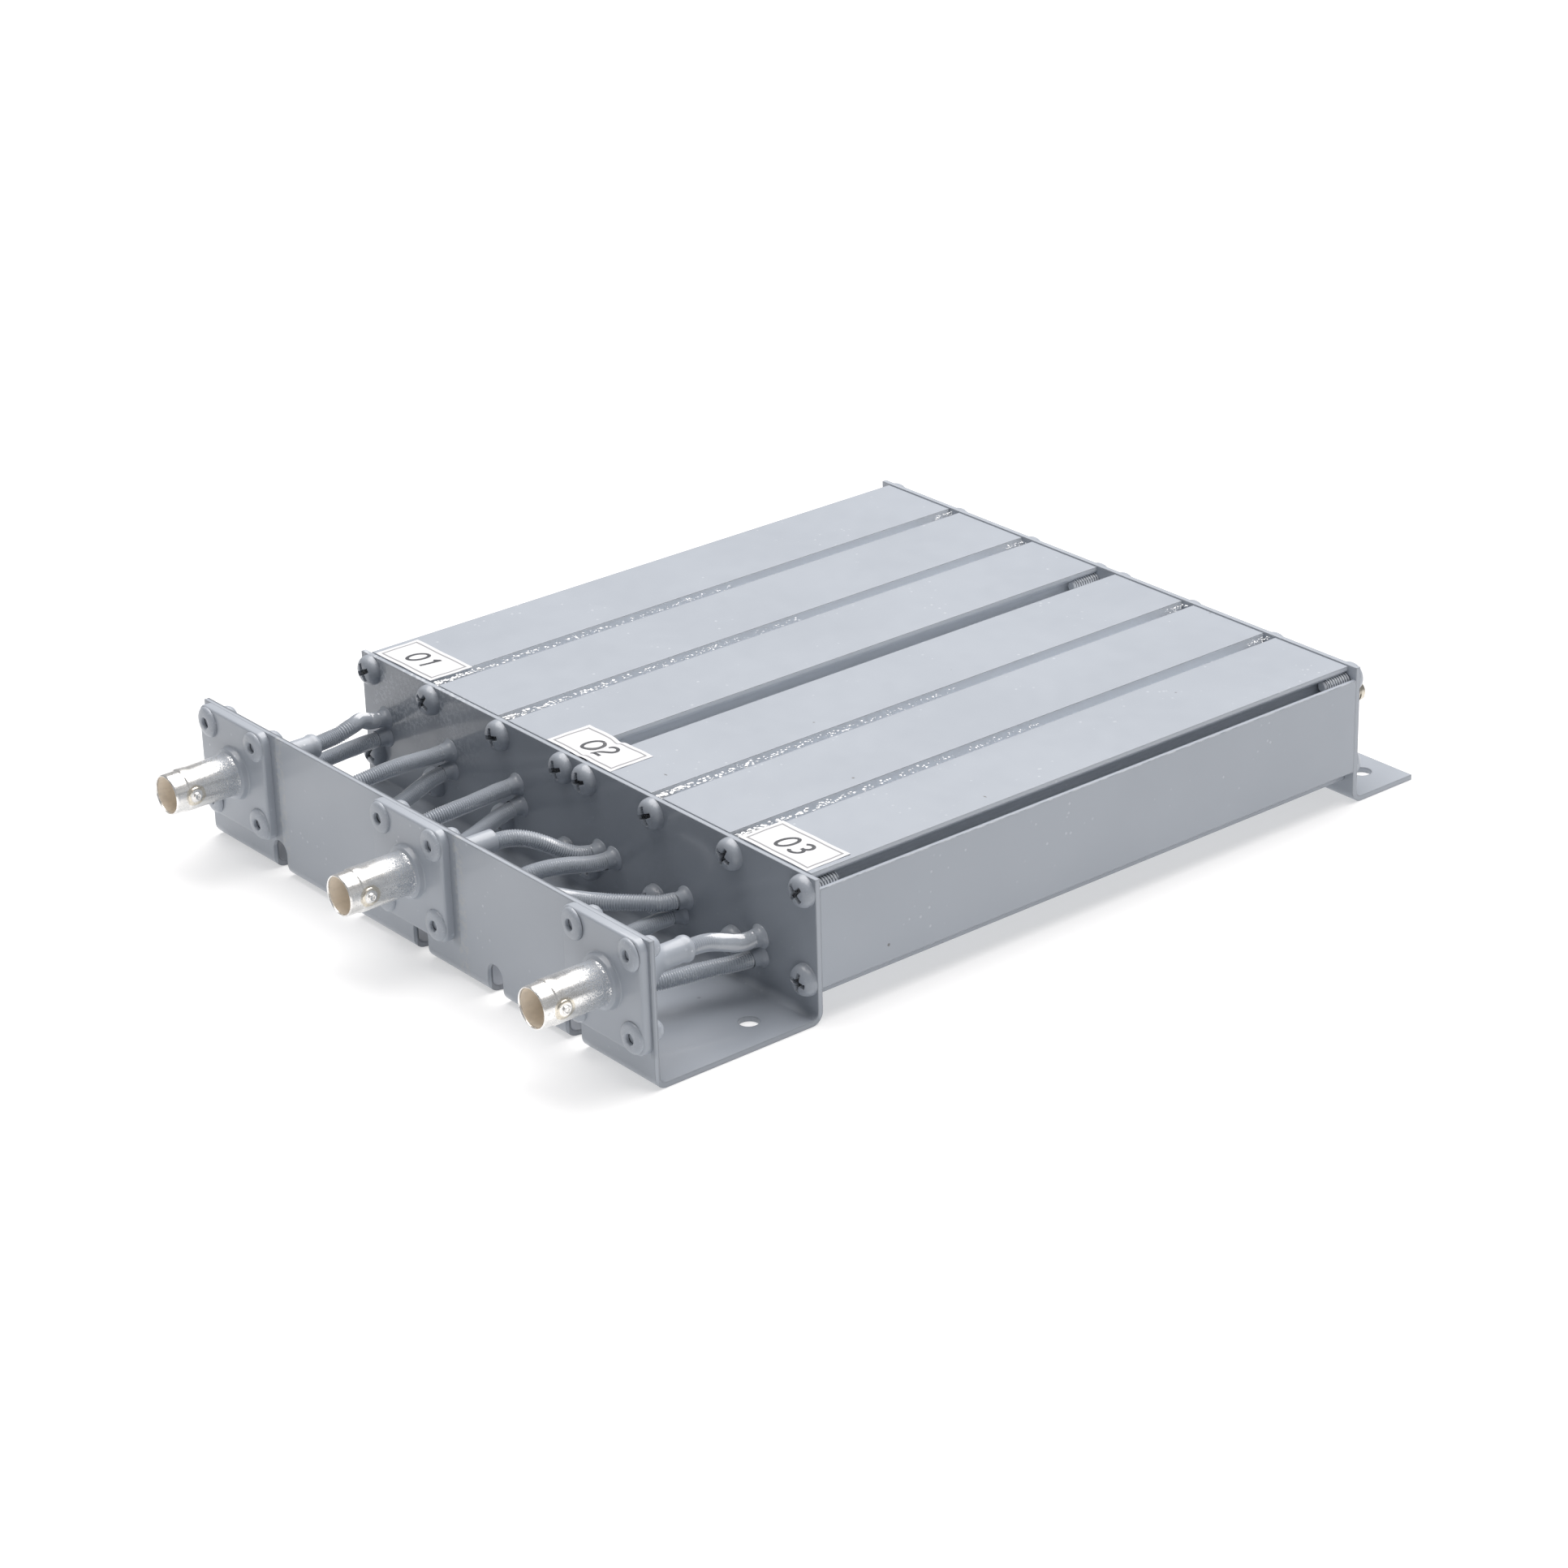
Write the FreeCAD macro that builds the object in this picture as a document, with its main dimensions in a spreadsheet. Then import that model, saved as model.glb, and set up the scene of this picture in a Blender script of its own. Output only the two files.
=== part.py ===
import FreeCAD, Part
import math
import os

import Sketcher
from FreeCAD import Placement, Rotation, Vector

# Cavity duplexer: six tunable cavities in two aluminium extrusions, held between a folded
# front channel with three bayonet jacks and a folded rear plate with six tuning screws.
# Building frame: x from the centre line, y rearward from the panel's front face, z up.

DIMENSIONS = {
    # Folded sheet brackets
    "unit_width": 160.0,
    "sheet": 1.2,
    "bend_inner": 1.6,
    "panel_height": 32.9,
    "wall_height": 32.4,
    "plate_height": 32.9,
    "channel_depth": 41.7,
    "foot_length": 18.0,
    "mount_hole_dia": 4.5,
    "mount_inset": 8.8,
    "floor_hole_back": 30.7,
    "foot_hole_edge": 6.9,
    "notch_count": 5.0,
    "notch_width": 5.3,
    "notch_top": 7.7,
    "notch_floor": 5.0,
    # Cavity extrusions
    "profile_height": 27.4,
    "profile_length": 154.0,
    "profile_base": 5.2,
    "profile_gap": 1.0,
    "chamber_side_wall": 2.35,
    "chamber_web": 3.5,
    "chamber_height": 23.6,
    "chamber_round": 1.5,
    "port_radius": 1.85,
    "port_side": 3.6,
    "port_depth": 3.7,
    "port_wall": 1.0,
    "corner_step": 2.6,
    "corner_lip": 0.9,
    # Assembly screws
    "screw_fit": 0.1,
    "screw_hole_fit": 0.25,
    "screw_head_radius": 3.5,
    "screw_head_height": 2.6,
    "screw_head_rim": 1.0,
    "screw_head_crown": 2.0,
    "screw_reach": 7.2,
    "screw_point": 0.4,
    # Resonators and tuning screws
    "rod_radius": 4.0,
    "rod_gap": 29.0,
    "rod_neck_radius": 3.0,
    "rod_neck_length": 2.5,
    "rod_bore_radius": 3.2,
    "rod_bore_depth": 20.0,
    "tuner_radius": 2.4,
    "tuner_length": 52.5,
    "tuner_stand": 14.4,
    "tuner_fit": 0.05,
    "tuner_slot_width": 0.9,
    "tuner_slot_depth": 1.4,
    "nut_across_flats": 9.5,
    "nut_thickness": 3.2,
    "bushing_wall": 1.3,
    "bushing_flange_radius": 4.7,
    "bushing_flange": 1.0,
    # Bayonet jacks
    "jack_inset": 13.3,
    "jack_reach": 19.4,
    "barrel_radius": 4.8,
    "barrel_nose_radius": 4.6,
    "barrel_nose": 3.5,
    "barrel_edge": 0.3,
    "mouth_radius": 4.1,
    "mouth_depth": 8.5,
    "lug_back": 4.8,
    "lug_radius": 1.0,
    "lug_reach": 5.55,
    "collar_radius": 5.9,
    "collar_length": 1.3,
    "collar_edge": 0.5,
    "flange_size": 25.4,
    "flange_thickness": 2.0,
    "flange_round": 2.4,
    "spigot_radius": 5.4,
    "spigot_length": 2.2,
    "insulator_radius": 3.45,
    "insulator_nose_radius": 2.4,
    "insulator_nose": 3.5,
    "contact_radius": 1.1,
    "contact_nose": 3.1,
    "contact_socket_radius": 0.7,
    "contact_socket_depth": 4.0,
    "contact_tail_radius": 0.7,
    "jack_fit": 0.05,
    "panel_bore_fit": 0.15,
    # Rivets that hold the jacks
    "rivet_spacing": 18.3,
    "rivet_radius": 1.6,
    "rivet_head_radius": 3.4,
    "rivet_head_height": 1.0,
    "rivet_head_edge": 0.4,
    "rivet_bore_radius": 1.2,
    "rivet_bore_depth": 3.2,
    "rivet_tail_radius": 2.3,
    "rivet_tail_length": 3.8,
    "rivet_tail_edge": 1.0,
    "rivet_hole_fit": 0.05,
    # Solder hoods behind the jacks
    "hood_radius": 7.0,
    "hood_wall": 1.0,
    "hood_cup_depth": 4.8,
    "hood_cone_depth": 6.0,
    "ferrule_length": 7.5,
    "ferrule_wall": 0.75,
    "branch_reach": 10.5,
    "branch_inset": 3.2,
    "branch_centre": 5.8,
    # Coaxial links and the rings where they enter the end wall
    "cable_radius": 1.8,
    "cable_fit": 0.05,
    "cable_hole_fit": 0.15,
    "ring_radius": 2.15,
    "ring_length": 1.0,
    "cable_exit": 5.4,
    "cable_lead": 3.2,
    "route_width": 160.0,
    "loop_wire_radius": 0.6,
    "loop_depth": 7.0,
    "loop_span": 5.0,
    # Paper labels
    "label_length": 11.5,
    "label_thickness": 0.12,
    "label_side_width": 21.4,
    "label_middle_width": 22.4,
    "label_inset": 4.0,
}

os.makedirs("parts", exist_ok=True)
doc = FreeCAD.newDocument("CavityDuplexer")
sheet = doc.addObject("Spreadsheet::Sheet", "Sizes")
for row, (alias, amount) in enumerate(DIMENSIONS.items(), start=1):
    sheet.set(f"A{row}", alias.replace("_", " "))
    sheet.set(f"B{row}", str(amount))
    sheet.setAlias(f"B{row}", alias)
doc.recompute()

# Places that several pieces share, each an expression of the sheet's sizes
WALL_FRONT = "Sizes.channel_depth"
WALL_REAR = "(Sizes.channel_depth + Sizes.sheet)"
PLATE_FRONT = "(Sizes.channel_depth + Sizes.sheet + Sizes.profile_length)"
PLATE_REAR = "(Sizes.channel_depth + 2 * Sizes.sheet + Sizes.profile_length)"
FOOT_TIP = f"({PLATE_REAR} + Sizes.foot_length)"
SHIFT_Y = f"((Sizes.jack_reach - {FOOT_TIP}) / 2)"
PROFILE_WIDTH = "((Sizes.unit_width - Sizes.profile_gap) / 2)"
PROFILE_CENTRE = f"(({PROFILE_WIDTH} + Sizes.profile_gap) / 2)"
PROFILE_TOP = "(Sizes.profile_base + Sizes.profile_height)"
CHAMBER_AXIS = "(Sizes.profile_base + Sizes.profile_height / 2)"
CHAMBER_WIDTH = f"(({PROFILE_WIDTH} - 2 * Sizes.chamber_side_wall - 2 * Sizes.chamber_web) / 3)"
CHAMBER_PITCH = f"({CHAMBER_WIDTH} + Sizes.chamber_web)"
WEB_OFFSET = f"({CHAMBER_PITCH} / 2)"
CORNER_OFFSET = f"({PROFILE_WIDTH} / 2 - Sizes.port_side)"
PORT_TOP = f"({PROFILE_TOP} - Sizes.port_depth)"
PORT_BOTTOM = "(Sizes.profile_base + Sizes.port_depth)"
SCREW_RADIUS = "(Sizes.port_radius - Sizes.screw_fit)"
SCREW_HOLE = f"({SCREW_RADIUS} + Sizes.screw_hole_fit)"
SCREW_LENGTH = "(Sizes.sheet + Sizes.screw_reach)"
ROD_LENGTH = "(Sizes.profile_length - Sizes.rod_gap)"
MOUNT_OFFSET = "(Sizes.unit_width / 2 - Sizes.mount_inset)"
TUNER_BORE = "(Sizes.tuner_radius + Sizes.tuner_fit)"
BUSHING_RADIUS = "(Sizes.tuner_radius + Sizes.bushing_wall)"
BUSHING_HOLE = f"({BUSHING_RADIUS} + Sizes.tuner_fit)"
JACK_HEIGHT = "(Sizes.panel_height - Sizes.flange_size / 2)"
RIVET_OFFSET = "(Sizes.rivet_spacing / 2)"
INSULATOR_BORE = "(Sizes.contact_radius + Sizes.jack_fit)"
SHELL_BORE = "(Sizes.insulator_radius + Sizes.jack_fit)"
MOUTH_FLOOR = "(Sizes.jack_reach - Sizes.mouth_depth)"
CABLE_BORE = "(Sizes.cable_radius + Sizes.cable_fit)"
FERRULE_RADIUS = f"({CABLE_BORE} + Sizes.ferrule_wall)"
HOOD_SHOULDER = "(Sizes.sheet + Sizes.hood_cup_depth)"
HOOD_NECK = f"({HOOD_SHOULDER} + Sizes.hood_cone_depth)"
HOOD_END = f"({HOOD_NECK} + Sizes.ferrule_length)"
CABLE_START = f"({HOOD_NECK} - Sizes.hood_wall)"
BRANCH_Y = "(Sizes.sheet + Sizes.branch_centre)"

# Screw ports across one extrusion, from its own centre line
PORT_OFFSETS = [f"-{CORNER_OFFSET}", f"-{WEB_OFFSET}", WEB_OFFSET, CORNER_OFFSET]
PROFILE_CENTRES = [f"-{PROFILE_CENTRE}", PROFILE_CENTRE]
SCREW_COLUMNS = [f"({centre} + {offset})" for centre in PROFILE_CENTRES for offset in PORT_OFFSETS]
CHAMBERS = [f"({centre} + ({step}) * {CHAMBER_PITCH})"
            for centre in PROFILE_CENTRES for step in (-1, 0, 1)]
JACKS = ["(Sizes.jack_inset - Sizes.unit_width / 2)", "0", "(Sizes.unit_width / 2 - Sizes.jack_inset)"]

# Where the links enter the end wall, named by their cavity: place across it, height over its
# axis, and the way that the coupling wire turns inside. A wire that turns down runs beside a
# screw port, so its place is measured from the cavity's left-hand side, and any other from the axis.
CAVITY_NAMES = ["first", "second", "third", "fourth", "fifth", "sixth"]
ENTRIES = {
    "first_upper": (-5.65, -0.4, "up"),
    "first_lower": (5.65, -4.9, "down"),
    "second_upper": (-6.45, -0.1, "up"),
    "second_lower": (4.95, -4.8, "down"),
    "third_upper": (-7.55, 0.1, "up"),
    "third_lower": (4.85, -4.6, "down"),
    "fourth_left": (-6.35, -5.5, "up"),
    "fourth_right": (-1.35, -5.5, "across"),
    "fifth_upper": (-2.95, -5.9, "across"),
    "fifth_lower": (-4.75, -10.0, "across"),
    "sixth_upper": (-4.45, -5.7, "across"),
    "sixth_lower": (-4.55, -10.1, "across"),
}
TURNS = {"up": Vector(0, 0, 1), "down": Vector(0, 0, -1), "across": Vector(1, 0, 0)}

# The second link of the middle jack leaves its hood sideways and down
BRANCH_DIRECTION = Vector(-0.766, 0.484, -0.423).normalize()

# Routes of the links between their two ends, chosen by hand in the building frame for a unit
# as wide as route_width, and stretched sideways with the unit
ROUTES = {
    "coax_jack_1_to_cavity_1": ("jack 0", "first_upper", [
        (-65.9, 28.6, 22.2), (-69.4, 33.6, 21.4)]),
    "coax_cavity_1_to_2": ("first_lower", "second_upper", [
        (-71.8, 26.5, 13.6), (-71.2, 16.5, 12.8), (-67.5, 9.5, 11.4), (-60.0, 7.6, 12.3),
        (-52.0, 9.6, 15.2), (-47.4, 16.5, 18.2), (-46.6, 26.5, 19.4)]),
    "coax_cavity_2_to_3": ("second_lower", "third_upper", [
        (-45.0, 30.0, 12.4), (-42.8, 20.5, 10.8), (-38.5, 12.5, 10.5), (-31.5, 9.5, 12.2),
        (-25.0, 12.5, 15.2), (-22.0, 20.5, 17.8), (-21.4, 29.2, 18.5)]),
    "coax_cavity_3_to_jack_2": ("branch", "third_lower", [
        (-15.4, 19.8, 12.8), (-18.0, 28.5, 12.9)]),
    "coax_jack_2_to_cavity_4": ("jack 1", "fourth_left", [
        (3.0, 28.5, 18.6), (5.2, 33.3, 15.3)]),
    "coax_cavity_4_to_5": ("fourth_right", "fifth_upper", [
        (11.6, 30.0, 15.2), (10.4, 22.4, 15.9), (10.7, 16.6, 15.3), (10.5, 11.6, 14.2),
        (7.9, 9.0, 13.0), (4.1, 9.0, 11.9), (1.5, 11.6, 11.1), (2.0, 17.0, 10.9),
        (6.5, 21.0, 10.9), (14.0, 23.0, 11.6), (22.0, 24.6, 12.8), (28.6, 27.6, 13.5),
        (33.2, 32.2, 13.6)]),
    "coax_cavity_5_to_6": ("fifth_lower", "sixth_lower", [
        (35.4, 29.5, 8.6), (36.3, 20.5, 8.4), (39.8, 12.8, 8.3), (47.0, 9.2, 8.5),
        (53.8, 12.0, 8.6), (57.2, 19.5, 8.7), (59.0, 29.0, 8.9)]),
    "coax_jack_3_to_cavity_6": ("jack 2", "sixth_upper", [
        (66.4, 28.2, 18.2), (63.6, 33.5, 15.0)]),
}

ARC_SHARE = 0.45
parts = []


def number(expression):
    """The value of an expression of the sheet's sizes."""
    return float(sheet.evalExpression(str(expression)))


def keep(piece, name):
    """List a finished sub-part under the name that its file gets."""
    piece.Label = name
    parts.append(piece)
    return piece


def place(piece, x="0", y="0", z="0"):
    """Tie the place of a sub-part to the sheet, y counted from the panel's front face."""
    piece.setExpression("Placement.Base.x", x)
    piece.setExpression("Placement.Base.y", f"{SHIFT_Y} + {y}")
    piece.setExpression("Placement.Base.z", z)


def new_body(name, x="0", y="0", z="0"):
    body = doc.addObject("PartDesign::Body", name)
    place(body, x, y, z)
    return body


def new_sketch(body, name, plane, offset="0"):
    """A sketch on one of the body's origin planes, moved along the plane's normal."""
    sketch = body.newObject("Sketcher::SketchObject", name)
    origin_planes = [item for item in body.Origin.OriginFeatures if item.Role == plane]
    sketch.AttachmentSupport = [(origin_planes[0], "")]
    sketch.MapMode = "FlatFace"
    sketch.setExpression("AttachmentOffset.Base.z", offset)
    sketch.Visibility = False
    return sketch


def bind(sketch, kind, elements, expression):
    """Add a dimension to a sketch and tie it to the sheet."""
    index = sketch.addConstraint(Sketcher.Constraint(kind, *elements, number(expression)))
    sketch.renameConstraint(index, f"{kind}{index}")
    sketch.setExpression(f"Constraints.{kind}{index}", str(expression))


def pin_point(sketch, element, position, x, y):
    """Fix a point of the sketch at two expressions from the sketch's origin."""
    bind(sketch, "DistanceX", (-1, 1, element, position), x)
    bind(sketch, "DistanceY", (-1, 1, element, position), y)


def draw_circle(sketch, x, y, radius):
    centre = Vector(number(x), number(y), 0)
    circle = sketch.addGeometry(Part.Circle(centre, Vector(0, 0, 1), number(radius)))
    pin_point(sketch, circle, 3, x, y)
    bind(sketch, "Radius", (circle,), radius)


def draw_slot(sketch, start, end, radius):
    """A slot with round ends between two centres that lie one above the other."""
    x = number(start[0])
    low, high = number(start[1]), number(end[1])
    reach = number(radius)
    normal = Vector(0, 0, 1)
    lower = sketch.addGeometry(Part.ArcOfCircle(
        Part.Circle(Vector(x, low, 0), normal, reach), math.pi, 2 * math.pi))
    upper = sketch.addGeometry(Part.ArcOfCircle(
        Part.Circle(Vector(x, high, 0), normal, reach), 0, math.pi))
    right = sketch.addGeometry(Part.LineSegment(Vector(x + reach, low, 0), Vector(x + reach, high, 0)))
    left = sketch.addGeometry(Part.LineSegment(Vector(x - reach, high, 0), Vector(x - reach, low, 0)))
    for joint in ((lower, 2, right, 1), (right, 2, upper, 1), (upper, 2, left, 1), (left, 2, lower, 1)):
        sketch.addConstraint(Sketcher.Constraint("Tangent", *joint))
    pin_point(sketch, lower, 3, *start)
    pin_point(sketch, upper, 3, *end)
    bind(sketch, "Radius", (lower,), radius)


def draw_outline(sketch, corners):
    """A closed outline through corners (x, y) or (x, y, round), every value an expression."""
    points = [Vector(number(corner[0]), number(corner[1]), 0) for corner in corners]
    count = len(points)
    entries = []
    exits = []
    arcs = []
    for index, corner in enumerate(corners):
        arriving = (points[index] - points[index - 1]).normalize()
        leaving = (points[(index + 1) % count] - points[index]).normalize()
        if len(corner) == 2:
            entries.append(points[index])
            exits.append(points[index])
            arcs.append(None)
            continue
        radius = number(corner[2])
        trim = radius * math.tan(arriving.getAngle(leaving) / 2)
        entry = points[index] - arriving * trim
        leave = points[index] + leaving * trim
        turn = 1 if arriving.cross(leaving).z > 0 else -1
        centre = entry + Vector(-arriving.y, arriving.x, 0) * radius * turn
        first, last = (entry, leave) if turn > 0 else (leave, entry)
        begin = math.atan2(first.y - centre.y, first.x - centre.x)
        finish = math.atan2(last.y - centre.y, last.x - centre.x)
        circle = Part.Circle(centre, Vector(0, 0, 1), radius)
        arcs.append((sketch.addGeometry(Part.ArcOfCircle(circle, begin, finish)), turn))
        entries.append(entry)
        exits.append(leave)
    lines = []
    for index in range(count):
        segment = Part.LineSegment(exits[index], entries[(index + 1) % count])
        lines.append(sketch.addGeometry(segment))
    for index, corner in enumerate(corners):
        before, after = lines[index - 1], lines[index]
        if arcs[index] is None:
            sketch.addConstraint(Sketcher.Constraint("Coincident", before, 2, after, 1))
            pin_point(sketch, after, 1, corner[0], corner[1])
            continue
        arc, turn = arcs[index]
        first, last = (1, 2) if turn > 0 else (2, 1)
        sketch.addConstraint(Sketcher.Constraint("Tangent", before, 2, arc, first))
        sketch.addConstraint(Sketcher.Constraint("Tangent", arc, last, after, 1))
        bind(sketch, "Radius", (arc,), corner[2])
        apex = sketch.addGeometry(Part.Point(points[index]), True)
        sketch.addConstraint(Sketcher.Constraint("PointOnObject", apex, 1, before))
        sketch.addConstraint(Sketcher.Constraint("PointOnObject", apex, 1, after))
        pin_point(sketch, apex, 1, corner[0], corner[1])


def draw_box(sketch, left, right, low, high, rounding=None):
    """A rectangle between four expressions, its corners rounded where a radius is given."""
    extra = () if rounding is None else (rounding,)
    corners = [(left, low), (right, low), (right, high), (left, high)]
    draw_outline(sketch, [corner + extra for corner in corners])


def pad(body, sketch, name, length, side="One side", backwards=False):
    feature = body.newObject("PartDesign::Pad", name)
    feature.Profile = sketch
    feature.SideType = side
    feature.Reversed = backwards
    feature.setExpression("Length", length)
    return feature


def pocket(body, sketch, name, length=None, side="One side"):
    """A cut into the material behind the sketch, or right through where no length is given."""
    feature = body.newObject("PartDesign::Pocket", name)
    feature.Profile = sketch
    feature.SideType = side
    if length is None:
        feature.Type = "ThroughAll"
    else:
        feature.setExpression("Length", length)
    return feature


def turned(body, name, corners, kind="PartDesign::Revolution"):
    """Turn an outline given as (radius, y) corners about the body's y axis."""
    sketch = new_sketch(body, f"{name}_section", "XY_Plane")
    draw_outline(sketch, corners)
    feature = body.newObject(kind, name)
    feature.Profile = sketch
    feature.ReferenceAxis = (sketch, ["V_Axis"])
    feature.Angle = 360
    return feature


def group(name, pieces):
    """Separate solids that share one node."""
    compound = doc.addObject("Part::Compound", name)
    compound.Links = pieces
    return keep(compound, name)


def repeat(source, name, places, turned_round=False):
    """A group of linked copies of one piece at (x, y, z) places of the building frame."""
    copies = []
    for index, spot in enumerate(places, start=1):
        copy = doc.addObject("App::Link", f"{name}_{index}")
        copy.LinkedObject = source
        copy.LinkTransform = False
        if turned_round:
            copy.Placement = Placement(Vector(), Rotation(Vector(0, 0, 1), 180))
        place(copy, *spot)
        copies.append(copy)
    return group(name, copies)


def bend_radii():
    inner = "Sizes.bend_inner"
    return inner, f"({inner} + Sizes.sheet)"


def make_front_bracket():
    """One folded sheet: jack panel, floor and end wall."""
    body = new_body("front_bracket_body")
    inner, outer = bend_radii()
    section = new_sketch(body, "front_section", "YZ_Plane")
    draw_outline(section, [
        ("0", "Sizes.panel_height"), ("0", "0", outer), (WALL_REAR, "0", outer),
        (WALL_REAR, "Sizes.wall_height"), (WALL_FRONT, "Sizes.wall_height"),
        (WALL_FRONT, "Sizes.sheet", inner), ("Sizes.sheet", "Sizes.sheet", inner),
        ("Sizes.sheet", "Sizes.panel_height")])
    pad(body, section, "folded_channel", "Sizes.unit_width", side="Symmetric")

    jack_holes = new_sketch(body, "jack_holes", "XZ_Plane")
    for jack in JACKS:
        draw_circle(jack_holes, jack, JACK_HEIGHT, "Sizes.spigot_radius + Sizes.panel_bore_fit")
        for x, z in rivet_places(jack):
            draw_circle(jack_holes, x, z, "Sizes.rivet_radius + Sizes.rivet_hole_fit")
    pocket(body, jack_holes, "jack_hole_cut", "Sizes.sheet")

    wall_holes = new_sketch(body, "wall_holes", "XZ_Plane", f"-{WALL_FRONT}")
    for column in SCREW_COLUMNS:
        draw_circle(wall_holes, column, PORT_TOP, SCREW_HOLE)
        draw_circle(wall_holes, column, PORT_BOTTOM, SCREW_HOLE)
    for entry in ENTRIES:
        x, z = entry_place(entry)
        draw_circle(wall_holes, x, z, "Sizes.cable_radius + Sizes.cable_hole_fit")
    pocket(body, wall_holes, "wall_hole_cut", "Sizes.sheet")

    floor_holes = new_sketch(body, "floor_holes", "XY_Plane")
    for side in ("-1", "1"):
        draw_circle(floor_holes, f"{side} * {MOUNT_OFFSET}", "Sizes.floor_hole_back",
                    "Sizes.mount_hole_dia / 2")
    pocket(body, floor_holes, "floor_hole_cut", side="Symmetric")

    # Slots punched across the fold line, upright part first
    radius = "Sizes.notch_width / 2"
    upright = new_sketch(body, "notch_uprights", "XZ_Plane")
    along = new_sketch(body, "notch_floors", "XY_Plane", outer)
    for index in range(1, round(number("Sizes.notch_count")) + 1):
        x = f"(Sizes.unit_width * ({index} / (Sizes.notch_count + 1) - 0.5))"
        for cut, reach in ((upright, "Sizes.notch_top"), (along, "Sizes.notch_floor")):
            draw_slot(cut, (x, "-Sizes.notch_width"), (x, f"{reach} - {radius}"), radius)
    pocket(body, upright, "notch_upright_cut", outer)
    pocket(body, along, "notch_floor_cut", outer)
    return keep(body, "front_bracket")


def make_rear_bracket():
    """One folded sheet: tuning plate and mounting foot."""
    body = new_body("rear_bracket_body")
    inner, outer = bend_radii()
    section = new_sketch(body, "rear_section", "YZ_Plane")
    draw_outline(section, [
        (PLATE_FRONT, "Sizes.plate_height"), (PLATE_FRONT, "0", outer), (FOOT_TIP, "0"),
        (FOOT_TIP, "Sizes.sheet"), (PLATE_REAR, "Sizes.sheet", inner),
        (PLATE_REAR, "Sizes.plate_height")])
    pad(body, section, "folded_plate", "Sizes.unit_width", side="Symmetric")

    plate_holes = new_sketch(body, "plate_holes", "XZ_Plane", f"-{PLATE_FRONT}")
    for column in SCREW_COLUMNS:
        draw_circle(plate_holes, column, PORT_TOP, SCREW_HOLE)
        draw_circle(plate_holes, column, PORT_BOTTOM, SCREW_HOLE)
    for chamber in CHAMBERS:
        draw_circle(plate_holes, chamber, CHAMBER_AXIS, BUSHING_HOLE)
    pocket(body, plate_holes, "plate_hole_cut", "Sizes.sheet")

    foot_holes = new_sketch(body, "foot_holes", "XY_Plane")
    for side in ("-1", "1"):
        draw_circle(foot_holes, f"{side} * {MOUNT_OFFSET}", f"{FOOT_TIP} - Sizes.foot_hole_edge",
                    "Sizes.mount_hole_dia / 2")
    pocket(body, foot_holes, "foot_hole_cut", side="Symmetric")
    return keep(body, "rear_bracket")


def make_profile(name, centre):
    """An extrusion with three square cavities, screw ports in its corners and webs."""
    body = new_body(f"{name}_body", centre, WALL_REAR, "Sizes.profile_base")
    half = f"({PROFILE_WIDTH} / 2)"
    height = "Sizes.profile_height"
    length = "Sizes.profile_length"
    levels = [("Sizes.port_depth", "-1"), (f"{height} - Sizes.port_depth", "1")]

    outline = new_sketch(body, f"{name}_outline", "XZ_Plane")
    draw_box(outline, f"-{half}", half, "0", height)
    pad(body, outline, f"{name}_billet", length, backwards=True)

    chambers = new_sketch(body, f"{name}_chambers", "XZ_Plane")
    low = f"({height} - Sizes.chamber_height) / 2"
    high = f"({height} + Sizes.chamber_height) / 2"
    for step in (-1, 0, 1):
        middle = f"({step}) * {CHAMBER_PITCH}"
        draw_box(chambers, f"{middle} - {CHAMBER_WIDTH} / 2", f"{middle} + {CHAMBER_WIDTH} / 2",
                 low, high, "Sizes.chamber_round")
    pocket(body, chambers, f"{name}_chamber_cut", length)

    bosses = new_sketch(body, f"{name}_bosses", "XZ_Plane")
    for offset in PORT_OFFSETS:
        for level, side in levels:
            draw_circle(bosses, offset, level, "Sizes.port_radius + Sizes.port_wall")
    pad(body, bosses, f"{name}_port_bosses", length, backwards=True)

    ports = new_sketch(body, f"{name}_ports", "XZ_Plane")
    for level, side in levels:
        outside = f"{level} + ({side}) * 2 * Sizes.port_depth"
        below, above = (outside, level) if side == "-1" else (level, outside)
        for offset in (PORT_OFFSETS[0], PORT_OFFSETS[3]):
            draw_circle(ports, offset, level, "Sizes.port_radius")
        for offset in PORT_OFFSETS[1:3]:
            draw_slot(ports, (offset, below), (offset, above), "Sizes.port_radius")
    pocket(body, ports, f"{name}_port_cut", length)

    mouths = new_sketch(body, f"{name}_mouths", "XZ_Plane")
    for side in ("-1", "1"):
        for top in (False, True):
            draw_outline(mouths, [(f"{side} * ({half} - {inward})", f"{height} - {deep}" if top else deep)
                                  for inward, deep in corner_mouth()])
    pocket(body, mouths, f"{name}_mouth_cut", length)
    return keep(body, name)


def corner_mouth():
    """The step in an extrusion's corner and its slanted mouth into the screw port."""
    step = "Sizes.corner_step"
    lip = "Sizes.corner_lip"
    half_mouth = f"({step} - {lip}) / 2"
    return [("(-1)", "(-1)"), (step, "(-1)"), (step, lip),
            (f"(Sizes.port_side + {half_mouth})", f"(Sizes.port_depth - {half_mouth})"),
            (f"(Sizes.port_side - {half_mouth})", f"(Sizes.port_depth + {half_mouth})"),
            (lip, step), ("(-1)", step)]


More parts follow.
